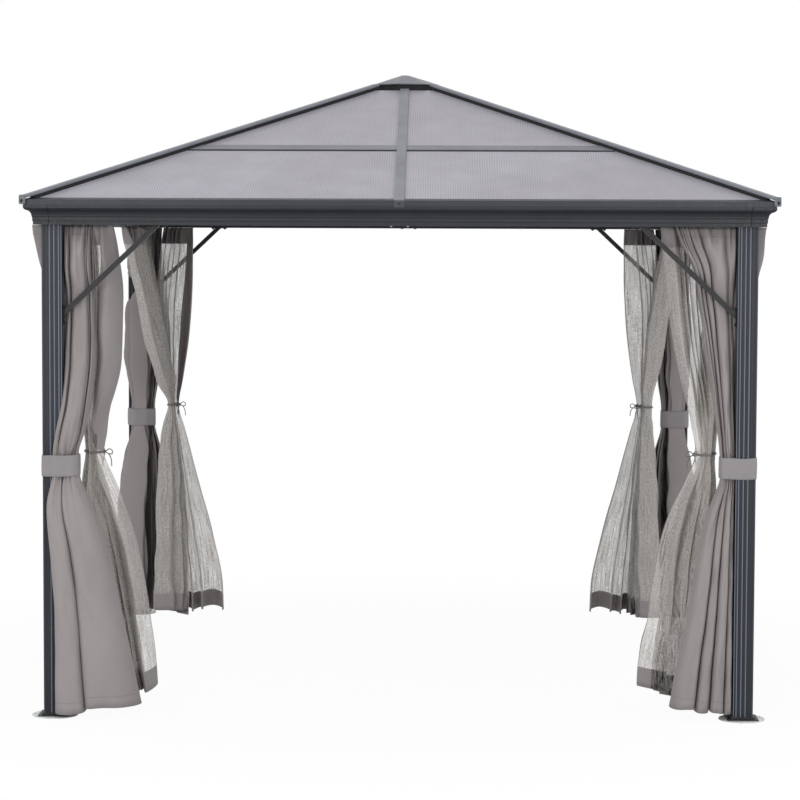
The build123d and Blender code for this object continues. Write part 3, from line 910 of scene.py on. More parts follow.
RIGHT_NET = rows_of(
    (1.969, 1.205, 1.322, 1.046, 1.322, 0.012), (1.88, 1.205, 1.300, 1.058, 1.285, 0.040),
    (1.73, 1.210, 1.280, 1.077, 1.262, 0.046), (1.51, 1.234, 1.260, 1.106, 1.245, 0.048),
    (1.30, 1.272, 1.242, 1.156, 1.225, 0.040), (1.17, 1.288, 1.225, 1.192, 1.210, 0.028),
    (1.055, 1.300, 1.214, 1.222, 1.202, 0.015), (0.94, 1.292, 1.210, 1.178, 1.185, 0.032),
    (0.86, 1.276, 1.200, 1.150, 1.165, 0.046), (0.71, 1.260, 1.190, 1.112, 1.120, 0.058),
    (0.57, 1.245, 1.175, 1.095, 1.090, 0.066), (0.38, 1.225, 1.160, 1.093, 1.050, 0.070),
    (0.10, 1.206, 1.140, 1.089, 0.980, 0.075), (0.032, 1.205, 1.138, 1.088, 0.978, 0.075))

SIDE_NET = rows_of(
    (1.969, 1.250, 1.322, 1.152, 1.322, 0.012), (1.88, 1.240, 1.300, 1.140, 1.300, 0.036),
    (1.70, 1.225, 1.285, 1.110, 1.285, 0.040), (1.42, 1.200, 1.272, 1.090, 1.272, 0.040),
    (1.25, 1.190, 1.266, 1.100, 1.266, 0.032), (1.05, 1.180, 1.264, 1.120, 1.266, 0.014),
    (0.92, 1.184, 1.262, 1.095, 1.264, 0.030), (0.68, 1.185, 1.256, 1.060, 1.258, 0.044),
    (0.38, 1.178, 1.248, 1.020, 1.250, 0.052), (0.032, 1.165, 1.240, 1.000, 1.242, 0.056))

REAR_SIDE_NET = rows_of(
    (1.969, 1.236, 1.322, 1.092, 1.322, 0.012), (1.88, 1.226, 1.300, 1.084, 1.300, 0.036),
    (1.70, 1.205, 1.275, 1.066, 1.275, 0.042), (1.42, 1.175, 1.238, 1.050, 1.238, 0.042),
    (1.22, 1.160, 1.206, 1.070, 1.206, 0.032), (1.085, 1.152, 1.190, 1.100, 1.190, 0.014),
    (0.95, 1.140, 1.190, 1.060, 1.190, 0.030), (0.70, 1.110, 1.194, 0.990, 1.194, 0.046),
    (0.40, 1.090, 1.198, 0.930, 1.198, 0.054), (0.032, 1.080, 1.200, 0.890, 1.200, 0.058))


@dataclass(frozen=True)
class Folds:
    """How a cloth's width is shared between its folds, and how far each one stands out.

    Shares run from the edge at the post to the free edge, above the tie and below it.
    """

    upper: tuple[float, ...]
    upper_reach: tuple[float, ...]
    lower: tuple[float, ...]
    lower_reach: tuple[float, ...]


LEFT_FOLDS = Folds((0.16, 0.03, 0.03, 0.60, 0.06, 0.05, 0.07), (1.0, 0.55, 0.5, 1.0, 0.7, 0.6, 0.85),
                   (0.345, 0.008, 0.008, 0.008, 0.008, 0.008, 0.615), (1.0, 0.32, 0.24, 0.3, 0.24, 0.32, 1.0))
RIGHT_FOLDS = Folds((0.18, 0.42, 0.02, 0.16, 0.02, 0.12, 0.08), (0.85, 1.0, 0.3, 0.85, 0.3, 0.7, 0.85),
                    (0.13, 0.012, 0.23, 0.012, 0.24, 0.012, 0.364), (0.8, 0.25, 1.0, 0.25, 0.9, 0.25, 1.0))
REAR_LEFT_FOLDS = Folds((0.40, 0.04, 0.04, 0.05, 0.33, 0.05, 0.09), (1.0, 0.45, 0.4, 0.45, 1.0, 0.5, 0.7),
                        (0.35, 0.04, 0.03, 0.13, 0.03, 0.34, 0.08), (1.0, 0.4, 0.4, 0.9, 0.4, 1.0, 0.6))
REAR_RIGHT_FOLDS = Folds((0.20, 0.10, 0.18, 0.10, 0.18, 0.08, 0.16), (1.0, 0.6, 1.0, 0.6, 0.9, 0.6, 1.0),
                         (0.22, 0.07, 0.20, 0.07, 0.20, 0.06, 0.18), (1.0, 0.5, 1.0, 0.5, 1.0, 0.5, 1.0))
SIDE_FOLDS = Folds((0.16, 0.12, 0.16, 0.12, 0.16, 0.12, 0.16), (0.9, 0.7, 1.0, 0.6, 1.0, 0.7, 0.8),
                   (0.18, 0.10, 0.18, 0.10, 0.16, 0.10, 0.18), (1.0, 0.6, 1.0, 0.6, 1.0, 0.6, 1.0))
NET_FOLDS = Folds((0.14, 0.18, 0.12, 0.16, 0.40), (1.0, 0.7, 1.0, 0.8, 1.0),
                  (0.20, 0.15, 0.18, 0.15, 0.32), (1.0, 0.7, 1.0, 0.7, 1.0))
LEFT_NET_FOLDS = Folds((0.06, 0.07, 0.05, 0.07, 0.75), (1.0, 0.8, 1.0, 0.9, 1.0),
                       (0.16, 0.13, 0.16, 0.15, 0.40), (1.0, 0.7, 1.0, 0.7, 1.0))
SWEPT_FOLDS = Folds((0.22, 0.14, 0.16, 0.12, 0.18, 0.18), (1.0, 0.7, 1.0, 0.7, 1.0, 0.8),
                    (0.2, 0.14, 0.16, 0.14, 0.16, 0.2), (1.0, 0.7, 1.0, 0.7, 1.0, 0.9))


# What hangs on the front or back side of each corner.
CURTAINS = {
    Corner.FRONT_LEFT: (FRONT_CURTAIN, LEFT_FOLDS), Corner.FRONT_RIGHT: (RIGHT_CURTAIN, RIGHT_FOLDS),
    Corner.BACK_RIGHT: (BACK_CURTAIN, REAR_RIGHT_FOLDS), Corner.BACK_LEFT: (BACK_CURTAIN, REAR_LEFT_FOLDS)}
NETS = {Corner.FRONT_LEFT: FRONT_NET, Corner.FRONT_RIGHT: RIGHT_NET,
        Corner.BACK_RIGHT: BACK_NET, Corner.BACK_LEFT: BACK_NET}
NET_BORDERS = {Corner.FRONT_LEFT: "wide", Corner.BACK_LEFT: "narrow"}
CREASES = (
    Crease((0.27, 1.96), (0.47, 1.66), 0.011, 0.020), Crease((0.36, 1.96), (0.46, 1.80), 0.009, 0.015),
    Crease((0.60, 1.96), (0.52, 1.74), 0.010, 0.014), Crease((0.16, 1.96), (0.30, 1.78), 0.010, 0.012),
    Crease((0.30, 1.62), (0.46, 1.36), 0.016, 0.008), Crease((0.50, 1.50), (0.36, 1.22), 0.016, 0.007),
    Crease((0.80, 0.82), (0.66, 0.52), 0.016, 0.010), Crease((0.70, 0.60), (0.86, 0.14), 0.018, 0.012),
    Crease((0.12, 0.80), (0.04, 0.56), 0.012, 0.012))


@dataclass
class CornerCloths:
    """The two curtains and two nets that hang at one corner, gathered at their tie heights."""

    corner: Corner
    curtain: bpy.types.Material
    nets_by_border: dict[str, bpy.types.Material]
    net_width: float
    curtain_width: float = 1.12
    seed: int = 1
    made: dict[str, bpy.types.Object] = field(default_factory=dict)

    @property
    def front(self) -> bool:
        """Whether this is one of the two front corners."""
        return self.corner.value[1] < 0

    def hang(self, name: str, cloth: HungCloth, on_front: bool,
             material: bpy.types.Material) -> bpy.types.Object:
        """Makes one hung cloth and keeps it clear of the frame.

        Args:
            name: The piece's name.
            cloth: The cloth's shape.
            on_front: Whether it hangs on the front or back side.
            material: Its finish.

        Returns:
            The cloth's object.
        """
        clear = Clearance(self.corner)
        grid = clear.apply(cloth.grid(), on_front, True)
        for _ in range(2):
            smooth = grid.copy()
            smooth[1:-1, 1:-1] = grid[1:-1, 1:-1] * 0.5 + 0.125 * (
                grid[:-2, 1:-1] + grid[2:, 1:-1] + grid[1:-1, :-2] + grid[1:-1, 2:])
            grid = clear.apply(smooth, on_front, False)
        points, faces = cloth_shell(grid, cloth.thickness)
        uv = cloth.cloth_map()
        obj = make_mesh(name, points, faces, material, np.concatenate([uv, uv]))
        turn_out(obj)
        return obj

    def curtains(self) -> None:
        """Makes the two opaque curtains."""
        sx, sy = self.corner.value
        for side, swap in (("a", False), ("b", True)):
            facing = (float(sx), 0.0) if swap else (0.0, float(sy))
            name = f"curtain_{self.corner.word}_{side}"
            table, folds = CURTAINS[self.corner]
            if swap:
                table, folds = (SIDE_CURTAIN if self.front else REAR_SIDE_CURTAIN), SIDE_FOLDS
            lead = self.front and not swap
            cloth = HungCloth(
                carried(table, self.corner, swap), facing, folds, CURTAIN_TIE, self.seed * 10 + swap,
                width=self.curtain_width, columns=CURTAIN_COLUMNS, creases=CREASES, hem_lift=(0.0, 0.022),
                near_start=0.6 if lead else 0.9, flat_top=3.0 if lead else 2.2,
                waver=0.12 if self.front else 0.3)
            self.made[name] = self.hang(name, cloth, not swap, self.curtain)

    def nets(self) -> None:
        """Makes the two nets."""
        sx, sy = self.corner.value
        for side, swap in (("a", False), ("b", True)):
            swept = self.corner is Corner.BACK_LEFT and swap
            facing = (float(sx), 0.0) if swap else (0.0, float(sy))
            name = f"net_{self.corner.word}_{side}"
            table = (SIDE_NET if self.front else REAR_SIDE_NET) if swap else NETS[self.corner]
            lead = self.corner is Corner.FRONT_LEFT and not swap
            stations, folds = carried(table, self.corner, swap), LEFT_NET_FOLDS if lead else NET_FOLDS
            if swept:
                stations, folds = carried(SWEPT_NET, self.corner, False), SWEPT_FOLDS
            cloth = HungCloth(
                stations, facing, folds, net_tie(self.corner), self.seed * 10 + 5 + swap,
                width=self.net_width, columns=NET_COLUMNS, rows=76, thickness=0.0006, pleats=11,
                pleat_depth=0.006, wrinkle=0.0035, hem_lift=(0.0, 0.03), bulge=0.3, flat_top=1.3)
            border = "plain" if swept else NET_BORDERS.get(self.corner, "plain")
            self.made[name] = self.hang(name, cloth, not swap, self.nets_by_border[border])

    def build(self) -> dict[str, bpy.types.Object]:
        """Makes every cloth of the corner.

        Returns:
            The pieces by name.
        """
        self.curtains()
        self.nets()
        return self.made


def hull(points: np.ndarray) -> np.ndarray:
    """The convex outline of plan points, anticlockwise."""
    order = sorted(map(tuple, points))

    def half(run: list[tuple[float, ...]]) -> list[tuple[float, ...]]:
        """One side of the outline."""
        chain: list[tuple[float, ...]] = []
        for p in run:
            while len(chain) > 1 and ((chain[-1][0] - chain[-2][0]) * (p[1] - chain[-2][1])
                                      - (chain[-1][1] - chain[-2][1]) * (p[0] - chain[-2][0])) <= 0:
                chain.pop()
            chain.append(p)
        return chain[:-1]

    return np.array(half(order) + half(order[::-1]))


def girdle(points: np.ndarray, steps: int, passes: int, clear: float) -> tuple[np.ndarray, np.ndarray]:
    """Draws a smooth closed loop round plan points.

    Args:
        points: What the loop goes round, in plan.
        steps: How many points the loop has.
        passes: How often it is smoothed.
        clear: How far it stays outside.

    Returns:
        The loop, and the middle that it was widened from.
    """
    ring = hull(points)
    closed = np.concatenate([ring, ring[:1]])
    lengths = np.concatenate([[0], np.cumsum(np.linalg.norm(np.diff(closed, axis=0), axis=1))])
    s = np.linspace(0, lengths[-1], steps, endpoint=False)
    loop = np.stack([np.interp(s, lengths, closed[:, i]) for i in (0, 1)], axis=1)
    for _ in range(passes):
        loop = (np.roll(loop, 1, 0) + 2 * loop + np.roll(loop, -1, 0)) / 4
    centre = loop.mean(0)
    out = loop - centre
    return loop + out / np.linalg.norm(out, axis=1, keepdims=True) * clear, centre


@dataclass
class TieBand:
    """A flat cloth band that holds the curtains of one corner to its post."""

    corner: Corner
    material: bpy.types.Material
    middle: float = 1.012
    height: float = 0.085
    thickness: float = 0.0022
    slack: float = 0.0012
    post: Pair = (1.4215, 1.3385)
    sag: float = 0.0009
    ripple: float = 0.0004
    steps: int = 150
    rows: int = 12

    def path(self, cloths: list[bpy.types.Object]) -> np.ndarray:
        """The band's outline in plan, round the post and the gathered cloth."""
        sx, sy = self.corner.value
        outer, inner = self.post
        points = [(sx * outer, sy * outer), (sx * outer, sy * inner), (sx * inner, sy * outer)]
        for cloth in cloths:
            co = np.array([v.co[:] for v in cloth.data.vertices])
            near = co[np.abs(co[:, 2] - self.middle) < self.height / 2 + 0.008]
            points.extend((p[0], p[1]) for p in near)
        return girdle(np.array(points), self.steps, 3, self.slack + self.thickness)[0]

    def build(self, cloths: list[bpy.types.Object]) -> tuple[bpy.types.Object, float]:
        """Makes the band.

        Args:
            cloths: The curtains that it holds.

        Returns:
            The band and its length.
        """
        rng = np.random.default_rng(7 + list(Corner).index(self.corner))
        loop = self.path(cloths)
        length = float(np.linalg.norm(np.roll(loop, -1, 0) - loop, axis=1).sum())
        out = loop - loop.mean(0)
        out /= np.linalg.norm(out, axis=1, keepdims=True)
        angle = np.linspace(0, 2 * math.pi, self.steps, endpoint=False)
        sag = sum(self.sag * np.sin(k * angle + rng.uniform(0, 6)) for k in (2, 3, 5))
        skins = []
        for push in (0.0, -self.thickness):
            for r in range(self.rows):
                f = r / (self.rows - 1)
                z = self.middle + self.height * (0.5 - f) + sag * (1 - 0.4 * f)
                belly = self.sag * math.sin(math.pi * f) * (1 + 0.4 * np.sin(4 * angle))
                ripple = self.ripple * np.sin(11 * angle + 3 * f) * (0.3 + f)
                rolled = -0.0006 * (abs(2 * f - 1) > 0.9)
                ring = loop + out * (belly + ripple + push + rolled)[:, None]
                skins.append(np.column_stack([ring, z]))
        n, r = self.steps, self.rows
        run = np.tile(np.linspace(0, length, n), 2 * r)
        fall = np.tile(np.repeat(np.linspace(0.2, 0.2 + self.height, r), n), 2)
        band = make_mesh(f"tie_band_{self.corner.word}", np.concatenate(skins), self.faces(), self.material,
                         np.stack([run, fall], axis=1))
        turn_out(band)
        return band, length

    def faces(self) -> list[tuple[int, ...]]:
        """Quads over both skins of the band, and along its upper and lower edges."""
        n, r = self.steps, self.rows
        faces = []
        for skin in (0, 1):
            for row in range(r - 1):
                for i in range(n):
                    j = (i + 1) % n
                    a = (skin * r + row) * n
                    quad = (a + i, a + n + i, a + n + j, a + j)
                    faces.append(quad if skin == 0 else quad[::-1])
        inner, low, low_in = r * n, (r - 1) * n, (2 * r - 1) * n
        for i in range(n):
            j = (i + 1) % n
            faces.append((i, j, inner + j, inner + i))
            faces.append((low + j, low + i, low_in + i, low_in + j))
        return faces


def tube(points: np.ndarray, radius: float, sides: int = 8, ends: float = 0.6) -> tuple[np.ndarray, list]:
    """A round tube along a path, with its ends closed.

    Args:
        points: The path, one row for each point.
        radius: The tube's radius.
        sides: How many sides it has.
        ends: How far the ends taper, as a share of the radius.

    Returns:
        Vertices and faces.
    """
    ahead = np.gradient(points, axis=0)
    ahead /= np.linalg.norm(ahead, axis=1, keepdims=True)
    side = np.cross(ahead[0], (0.3, 0.2, 0.9))
    verts, faces = [], []
    for i, (p, a) in enumerate(zip(points, ahead)):
        side = side - a * (side @ a)
        side /= np.linalg.norm(side)
        up = np.cross(a, side)
        r = radius * (ends if i in (0, len(points) - 1) else 1.0)
        for k in range(sides):
            w = 2 * math.pi * k / sides
            verts.append(p + r * (side * math.cos(w) + up * math.sin(w)))
    for i in range(len(points) - 1):
        for k in range(sides):
            a, b = i * sides + k, i * sides + (k + 1) % sides
            faces.append((a, b, b + sides, a + sides))
    faces.append(tuple(range(sides))[::-1])
    last = (len(points) - 1) * sides
    faces.append(tuple(last + k for k in range(sides)))
    return np.array(verts), faces


def curve_through(knots: list[Triple], count: int) -> np.ndarray:
    """A smooth path through the given places."""
    table = np.array(knots)
    s = np.concatenate([[0], np.cumsum(np.linalg.norm(np.diff(table, axis=0), axis=1))])
    return eased(np.linspace(0, s[-1], count), s, table)


@dataclass
class NetTie:
    """A thin cord knotted in a bow round one net."""

    corner: Corner
    side: str
    material: bpy.types.Material
    height: float
    radius: float = 0.0021
    reach: float = 0.012
    steps: int = 56
    bow_reach: Pair = (0.028, 0.038)
    end_drop: Pair = (0.045, 0.065)
    knot: tuple[Triple, ...] = ((0.001, -0.007, 0.001), (0.005, -0.002, 0.005), (0.006, 0.004, 0.0),
                                (0.003, 0.006, -0.004), (0.001, 0.0, -0.005))

    def build(self, net: bpy.types.Object) -> bpy.types.Object:
        """Makes the cord's two turns, bow and loose ends.

        Args:
            net: The net that it gathers.

        Returns:
            The cord as one mesh.
        """
        rng = np.random.default_rng(40 + list(Corner).index(self.corner) * 2 + (self.side == "b"))
        co = np.array([v.co[:] for v in net.data.vertices])
        near = co[np.abs(co[:, 2] - self.height) < self.reach]
        loop, centre = girdle(near[:, :2], self.steps, 4, self.radius + 0.002)
        sx, sy = self.corner.value
        inward = np.array([-sx * 0.8, -0.6 if sy < 0 or self.side == "a" else 0.6])
        loop = np.roll(loop, -int(np.argmax((loop - centre) @ inward)), axis=0)
        spot = np.array([*loop[0], self.height])
        away = np.array([*(loop[0] - centre), 0.0])
        away /= np.linalg.norm(away)
        side = np.array([-away[1], away[0], 0.0])
        verts, faces = [], []

        def keep(path: np.ndarray, radius: float, ends: float = 0.6) -> None:
            """Adds one tube to the cord's mesh."""
            base = sum(len(v) for v in verts)
            points, quads = tube(path, radius, ends=ends)
            verts.append(points)
            faces.extend(tuple(base + i for i in f) for f in quads)

        def strand(knots: Iterable[Triple], count: int) -> np.ndarray:
            """A path from the knot, through places given outwards, sideways and up."""
            return curve_through([tuple(spot + away * a + side * b + np.array([0, 0, c]))
                                  for a, b, c in knots], count)

        for turn in (-1, 1):
            wave = 0.0012 * np.sin(np.linspace(0, 2 * math.pi, self.steps + 1))
            rise = self.height + turn * self.radius * 1.05 + wave
            keep(np.column_stack([np.concatenate([loop, loop[:1]]), rise]), self.radius, 1.0)
        keep(strand(self.knot, 16), self.radius * 1.25)
        for turn in (-1, 1):
            reach = rng.uniform(*self.bow_reach)
            bow = ((0.004, 0.002 * turn, 0.0), (0.012, reach * 0.5 * turn, 0.012),
                   (0.014, reach * turn, 0.004), (0.012, reach * 1.05 * turn, -0.008),
                   (0.010, reach * 0.55 * turn, -0.008), (0.005, 0.001 * turn, -0.002))
            keep(strand(bow, 22), self.radius)
            drop = rng.uniform(*self.end_drop)
            tail = ((0.005, 0.002 * turn, -0.001), (0.013, 0.016 * turn, -0.012),
                    (0.016, 0.026 * turn, -drop * 0.6), (0.015, 0.030 * turn, -drop))
            keep(strand(tail, 16), self.radius)
        tie = make_mesh(f"net_tie_{self.corner.word}_{self.side}", np.concatenate(verts), faces, self.material,
                        np.zeros((sum(len(v) for v in verts), 2)))
        turn_out(tie)
        return tie


class Head(Enum):
    """The kinds of screw head."""

    HEX = 6
    PAN = 16


@dataclass
class ScrewSet:
    """Screws or bolts of one kind, placed by a node tree on points that carry their axis."""

    name: str
    head: Head
    places: list[Triple]
    axes: list[Triple]
    radius: float
    height: float
    washer: float
    material: bpy.types.Material
    seat: float = 0.0014

    def tree(self) -> bpy.types.NodeTree:
        """Builds the node tree with its named sizes."""
        tree = bpy.data.node_groups.new(self.name, "GeometryNodeTree")
        face = tree.interface
        face.new_socket("Points", in_out="INPUT", socket_type="NodeSocketGeometry")
        for label in ("Head radius", "Head height", "Washer radius"):
            face.new_socket(label, in_out="INPUT", socket_type="NodeSocketFloat")
        face.new_socket("Screws", in_out="OUTPUT", socket_type="NodeSocketGeometry")
        sizes = tree.nodes.new("NodeGroupInput").outputs
        leave = tree.nodes.new("NodeGroupOutput")

        def node(kind: str, inputs: dict[int | str, Any], **settings: Any) -> bpy.types.NodeSocket:
            """Adds a node, sets or links its inputs, and gives its first output."""
            made = tree.nodes.new(kind)
            for key, value in settings.items():
                setattr(made, key, value)
            for key, value in inputs.items():
                if isinstance(value, bpy.types.NodeSocket):
                    tree.links.new(value, made.inputs[key])
                else:
                    made.inputs[key].default_value = value
            return made.outputs[0]

        head = node("GeometryNodeMeshCylinder", {
            "Vertices": self.head.value, "Radius": sizes["Head radius"], "Depth": sizes["Head height"]})
        half = node("ShaderNodeMath", {0: sizes["Head height"], 1: 0.5}, operation="MULTIPLY")
        raised = node("ShaderNodeMath", {0: half, 1: self.seat - 0.0002}, operation="ADD")
        lift = node("ShaderNodeCombineXYZ", {"Z": raised})
        up = node("GeometryNodeTransform", {"Geometry": head, "Translation": lift})
        washer = node("GeometryNodeMeshCylinder", {
            "Vertices": 20, "Depth": self.seat, "Radius": sizes["Washer radius"]})
        flat = node("GeometryNodeTransform", {"Translation": (0, 0, self.seat / 2), "Geometry": washer})
        join = tree.nodes.new("GeometryNodeJoinGeometry")
        tree.links.new(flat, join.inputs[0])
        tree.links.new(up, join.inputs[0])
        axis = node("GeometryNodeInputNamedAttribute", {"Name": "axis"}, data_type="FLOAT_VECTOR")
        align = node("FunctionNodeAlignRotationToVector", {"Vector": axis}, axis="Z")
        spread = node("GeometryNodeInstanceOnPoints", {
            "Points": sizes["Points"], "Instance": join.outputs[0], "Rotation": align})
        real = node("GeometryNodeRealizeInstances", {0: spread})
        paint = node("GeometryNodeSetMaterial", {"Material": self.material, "Geometry": real})
        tree.links.new(paint, leave.inputs[0])
        return tree

    def build(self) -> bpy.types.Object:
        """Makes the screws as one plain mesh.

        Returns:
            The mesh object.
        """
        mesh = bpy.data.meshes.new(self.name + "_points")
        mesh.from_pydata([tuple(p) for p in self.places], [], [])
        mark = mesh.attributes.new("axis", "FLOAT_VECTOR", "POINT")
        mark.data.foreach_set("vector", np.array(self.axes, np.float32).ravel())
        holder = bpy.data.objects.new(self.name + "_points", mesh)
        bpy.context.scene.collection.objects.link(holder)
        tree = self.tree()
        step = holder.modifiers.new("screws", "NODES")
        step.node_group = tree
        sizes = {"Head radius": self.radius, "Head height": self.height, "Washer radius": self.washer}
        for item in tree.interface.items_tree:
            if item.in_out == "INPUT" and item.name in sizes:
                step[item.identifier] = sizes[item.name]
        graph = bpy.context.evaluated_depsgraph_get()
        plain = bpy.data.meshes.new_from_object(holder.evaluated_get(graph))
        plain.name = self.name
        bpy.data.objects.remove(holder)
        obj = bpy.data.objects.new(self.name, plain)
        bpy.context.scene.collection.objects.link(obj)
        return obj


def mirrored(places: list[tuple[Triple, Triple]]) -> tuple[list[Triple], list[Triple]]:
    """Carries places and axes given for the front left corner to all four corners, on both of their sides.

    Args:
        places: Pairs of a place and an axis.

    Returns:
        The places and the axes.
    """
    spots: list[Triple] = []
    axes: list[Triple] = []
    for sx, sy in ((1, 1), (-1, 1), (-1, -1), (1, -1)):
        for (x, y, z), (a, b, c) in places:
            for p, q in (((x, y), (a, b)), ((y, x), (b, a))):
                spot = (p[0] * sx, p[1] * sy, z)
                if all(math.dist(spot, s) > 0.001 for s in spots):
                    spots.append(spot)
                    axes.append((q[0] * sx, q[1] * sy, c))
    return spots, axes


def on_sides(places: list[tuple[Triple, Triple]]) -> tuple[list[Triple], list[Triple]]:
    """Carries places and axes given for the front side to all four sides."""
    spots, axes = [], []
    for c, s in QUARTER_TURNS:
        for (x, y, z), (a, b, up) in places:
            spots.append((x * c - y * s, x * s + y * c, z))
            axes.append((a * c - b * s, a * s + b * c, up))
    return spots, axes


@dataclass
class Fasteners:
    """Every screw and bolt that shows on the frame and the roof."""

    steel: bpy.types.Material
    dark: bpy.types.Material

    def brace_bolts(self) -> ScrewSet:
        """Bolts through both ends of the knee braces, in a post's inner face and under a beam."""
        post_face, line, ceiling = 1.337, 1.38, 1.967
        places = [((-post_face, -line, z), (1.0, 0.0, 0.0)) for z in (1.583, 1.644)]
        places += [((x, -line, ceiling), (0.0, 0.0, -1.0)) for x in (-0.993, -0.933)]
        spots, axes = mirrored(places)
        return ScrewSet("brace_bolts", Head.HEX, spots, axes, 0.0048, 0.0040, 0.0062, self.dark)

    def beam_bolts(self) -> ScrewSet:
        """Bolts at the beam ends, beside the corner seams."""
        spots, axes = mirrored([((-1.361, -1.448, 1.981), (0.0, -1.0, 0.0))])
        return ScrewSet("beam_bolts", Head.HEX, spots, axes, 0.0050, 0.0036, 0.0066, self.dark)

    def splice_screws(self) -> ScrewSet:
        """Screws under each beam, either side of its splice."""
        places = [((x, -1.392, 1.970), (0.0, 0.0, -1.0)) for x in (-0.033, 0.033)]
        spots, axes = on_sides(places)
        return ScrewSet("splice_screws", Head.PAN, spots, axes, 0.0055, 0.0030, 0.0070, self.steel)

    def end_screws(self) -> ScrewSet:
        """A screw through each hip's end cap."""
        chamfer, proud, half = 0.018, 0.0001, math.sqrt(0.5)
        tip = 1.5 - chamfer / math.sqrt(2) + proud
        spots, axes = on_sides([((-tip, -tip, 2.064), (-half, -half, 0.0))])
        return ScrewSet("hip_end_screws", Head.PAN, spots, axes, 0.0052, 0.0030, 0.0068, self.dark)

    def clip_screws(self) -> ScrewSet:
        """A screw through each rib's end clip into the eave rail."""
        spots, axes = on_sides([((0.0, -1.4855, 2.056), (0.0, -1.0, 0.0))])
        return ScrewSet("rib_clip_screws", Head.PAN, spots, axes, 0.0045, 0.0024, 0.0056, self.dark)

    def build(self) -> list[bpy.types.Object]:
        """Makes every set of screws."""
        sets = (self.brace_bolts(), self.beam_bolts(), self.splice_screws(), self.end_screws(),
                self.clip_screws())
        return [kind.build() for kind in sets]


@dataclass(frozen=True)
class PurlinSeal:
    """A thin black strip on the roof sheets along the lower edge of each purlin, standing in for the purlin's
    shadow: painted shadow.
    """

    material: bpy.types.Material
    start: float = 0.9095
    width: float = 0.0095
    rise: float = 0.0022
    rib: float = 0.0215
    hip: float = 0.034

    def build(self) -> bpy.types.Object:
        """Makes the eight strips as one mesh."""
        verts, faces = [], []
        for c, s in QUARTER_TURNS:
            for sign in (-1, 1):
                base = len(verts)
                for out, lift in ((self.start, 0.0002), (self.start + self.width, 0.0002),
                                  (self.start + self.width, self.rise), (self.start, self.rise)):
                    for along in (self.rib, out - self.hip):
                        x, y = sign * along, -out
                        verts.append((x * c - y * s, x * s + y * c, ROOF_RIDGE - ROOF_SLOPE * out + lift))
                ring = [(0, 1, 3, 2), (2, 3, 5, 4), (4, 5, 7, 6), (6, 7, 1, 0), (0, 2, 4, 6), (1, 7, 5, 3)]
                for face in ring:
                    faces.append(tuple(base + i for i in (face if sign > 0 else face[::-1])))
        shadow_strip = make_mesh("purlin_seals", np.array(verts), faces, self.material, smooth=False)
        turn_out(shadow_strip)
        return shadow_strip


@dataclass
class Gliders:
    """The small hooks that carry a cloth's header in its track."""

    name: str
    material: bpy.types.Material
    every: int = 12
    foot: float = 1.9682
    track_edge: float = 1.362

    def build(self, cloths: list[tuple[bpy.types.Object, int]]) -> bpy.types.Object:
        """Makes the hooks of several cloths.

        Args:
            cloths: Each cloth with its number of columns.

        Returns:
            The hooks as one mesh.
        """
        places: list[Triple] = []
        for cloth, columns in cloths:
            top = [cloth.data.vertices[i].co for i in range(self.every // 2, columns, self.every)]
            places.extend((p.x, p.y, self.foot) for p in top if max(abs(p.x), abs(p.y)) < self.track_edge)
        axes = [(0.0, 0.0, 1.0)] * len(places)
        return ScrewSet(self.name, Head.HEX, places, axes, 0.0022, 0.0100, 0.0024, self.material).build()


@dataclass
class Frame:
    """The rigid pieces, which keep their own meshes and get their finishes here."""

    dark: bpy.types.Material
    post: bpy.types.Material
    brace: bpy.types.Material
    rail: bpy.types.Material
    trim: bpy.types.Material
    rib: bpy.types.Material
    purlin: bpy.types.Material
    sheet_along_y: bpy.types.Material
    sheet_along_x: bpy.types.Material
    rubber: bpy.types.Material
    plate: bpy.types.Material
    shoe: bpy.types.Material

    def finish_of(self, node: str) -> bpy.types.Material | None:
        """The finish of a rigid piece, or None for a soft one."""
        if node.startswith("roof_sheets"):
            return self.sheet_along_y if node.endswith(("front", "back")) else self.sheet_along_x
        table = (("post_shoes", self.shoe), ("post_", self.post), ("base_plates", self.plate),
                 ("beam_", self.dark), ("splice_covers", self.dark), ("eave_rail", self.rail),
                 ("roof_purlins", self.purlin), ("rib_", self.rib), ("hip_rafter", self.dark),
                 ("hip_covers", self.trim), ("hip_gaskets", self.rubber), ("hip_end_caps", self.trim),
                 ("roof_hub", self.rubber), ("roof_cap", self.trim), ("knee_braces", self.brace),
                 ("curtain_tracks", self.dark))
        for start, material in table:
            if node.startswith(start):
                return material
        return None

    def dress(self, nodes: dict[str, bpy.types.Object]) -> int:
        """Gives every rigid piece its finish.

        Args:
            nodes: The rigid and soft pieces of the frame by name.

        Returns:
            How many were dressed.
        """
        count = 0
        for name, obj in nodes.items():
            material = self.finish_of(name)
            if material is None:
                continue
            if not obj.data.materials:
                obj.data.materials.append(material)
            for i in range(len(obj.data.materials)):
                obj.data.materials[i] = material
            count += 1
        return count


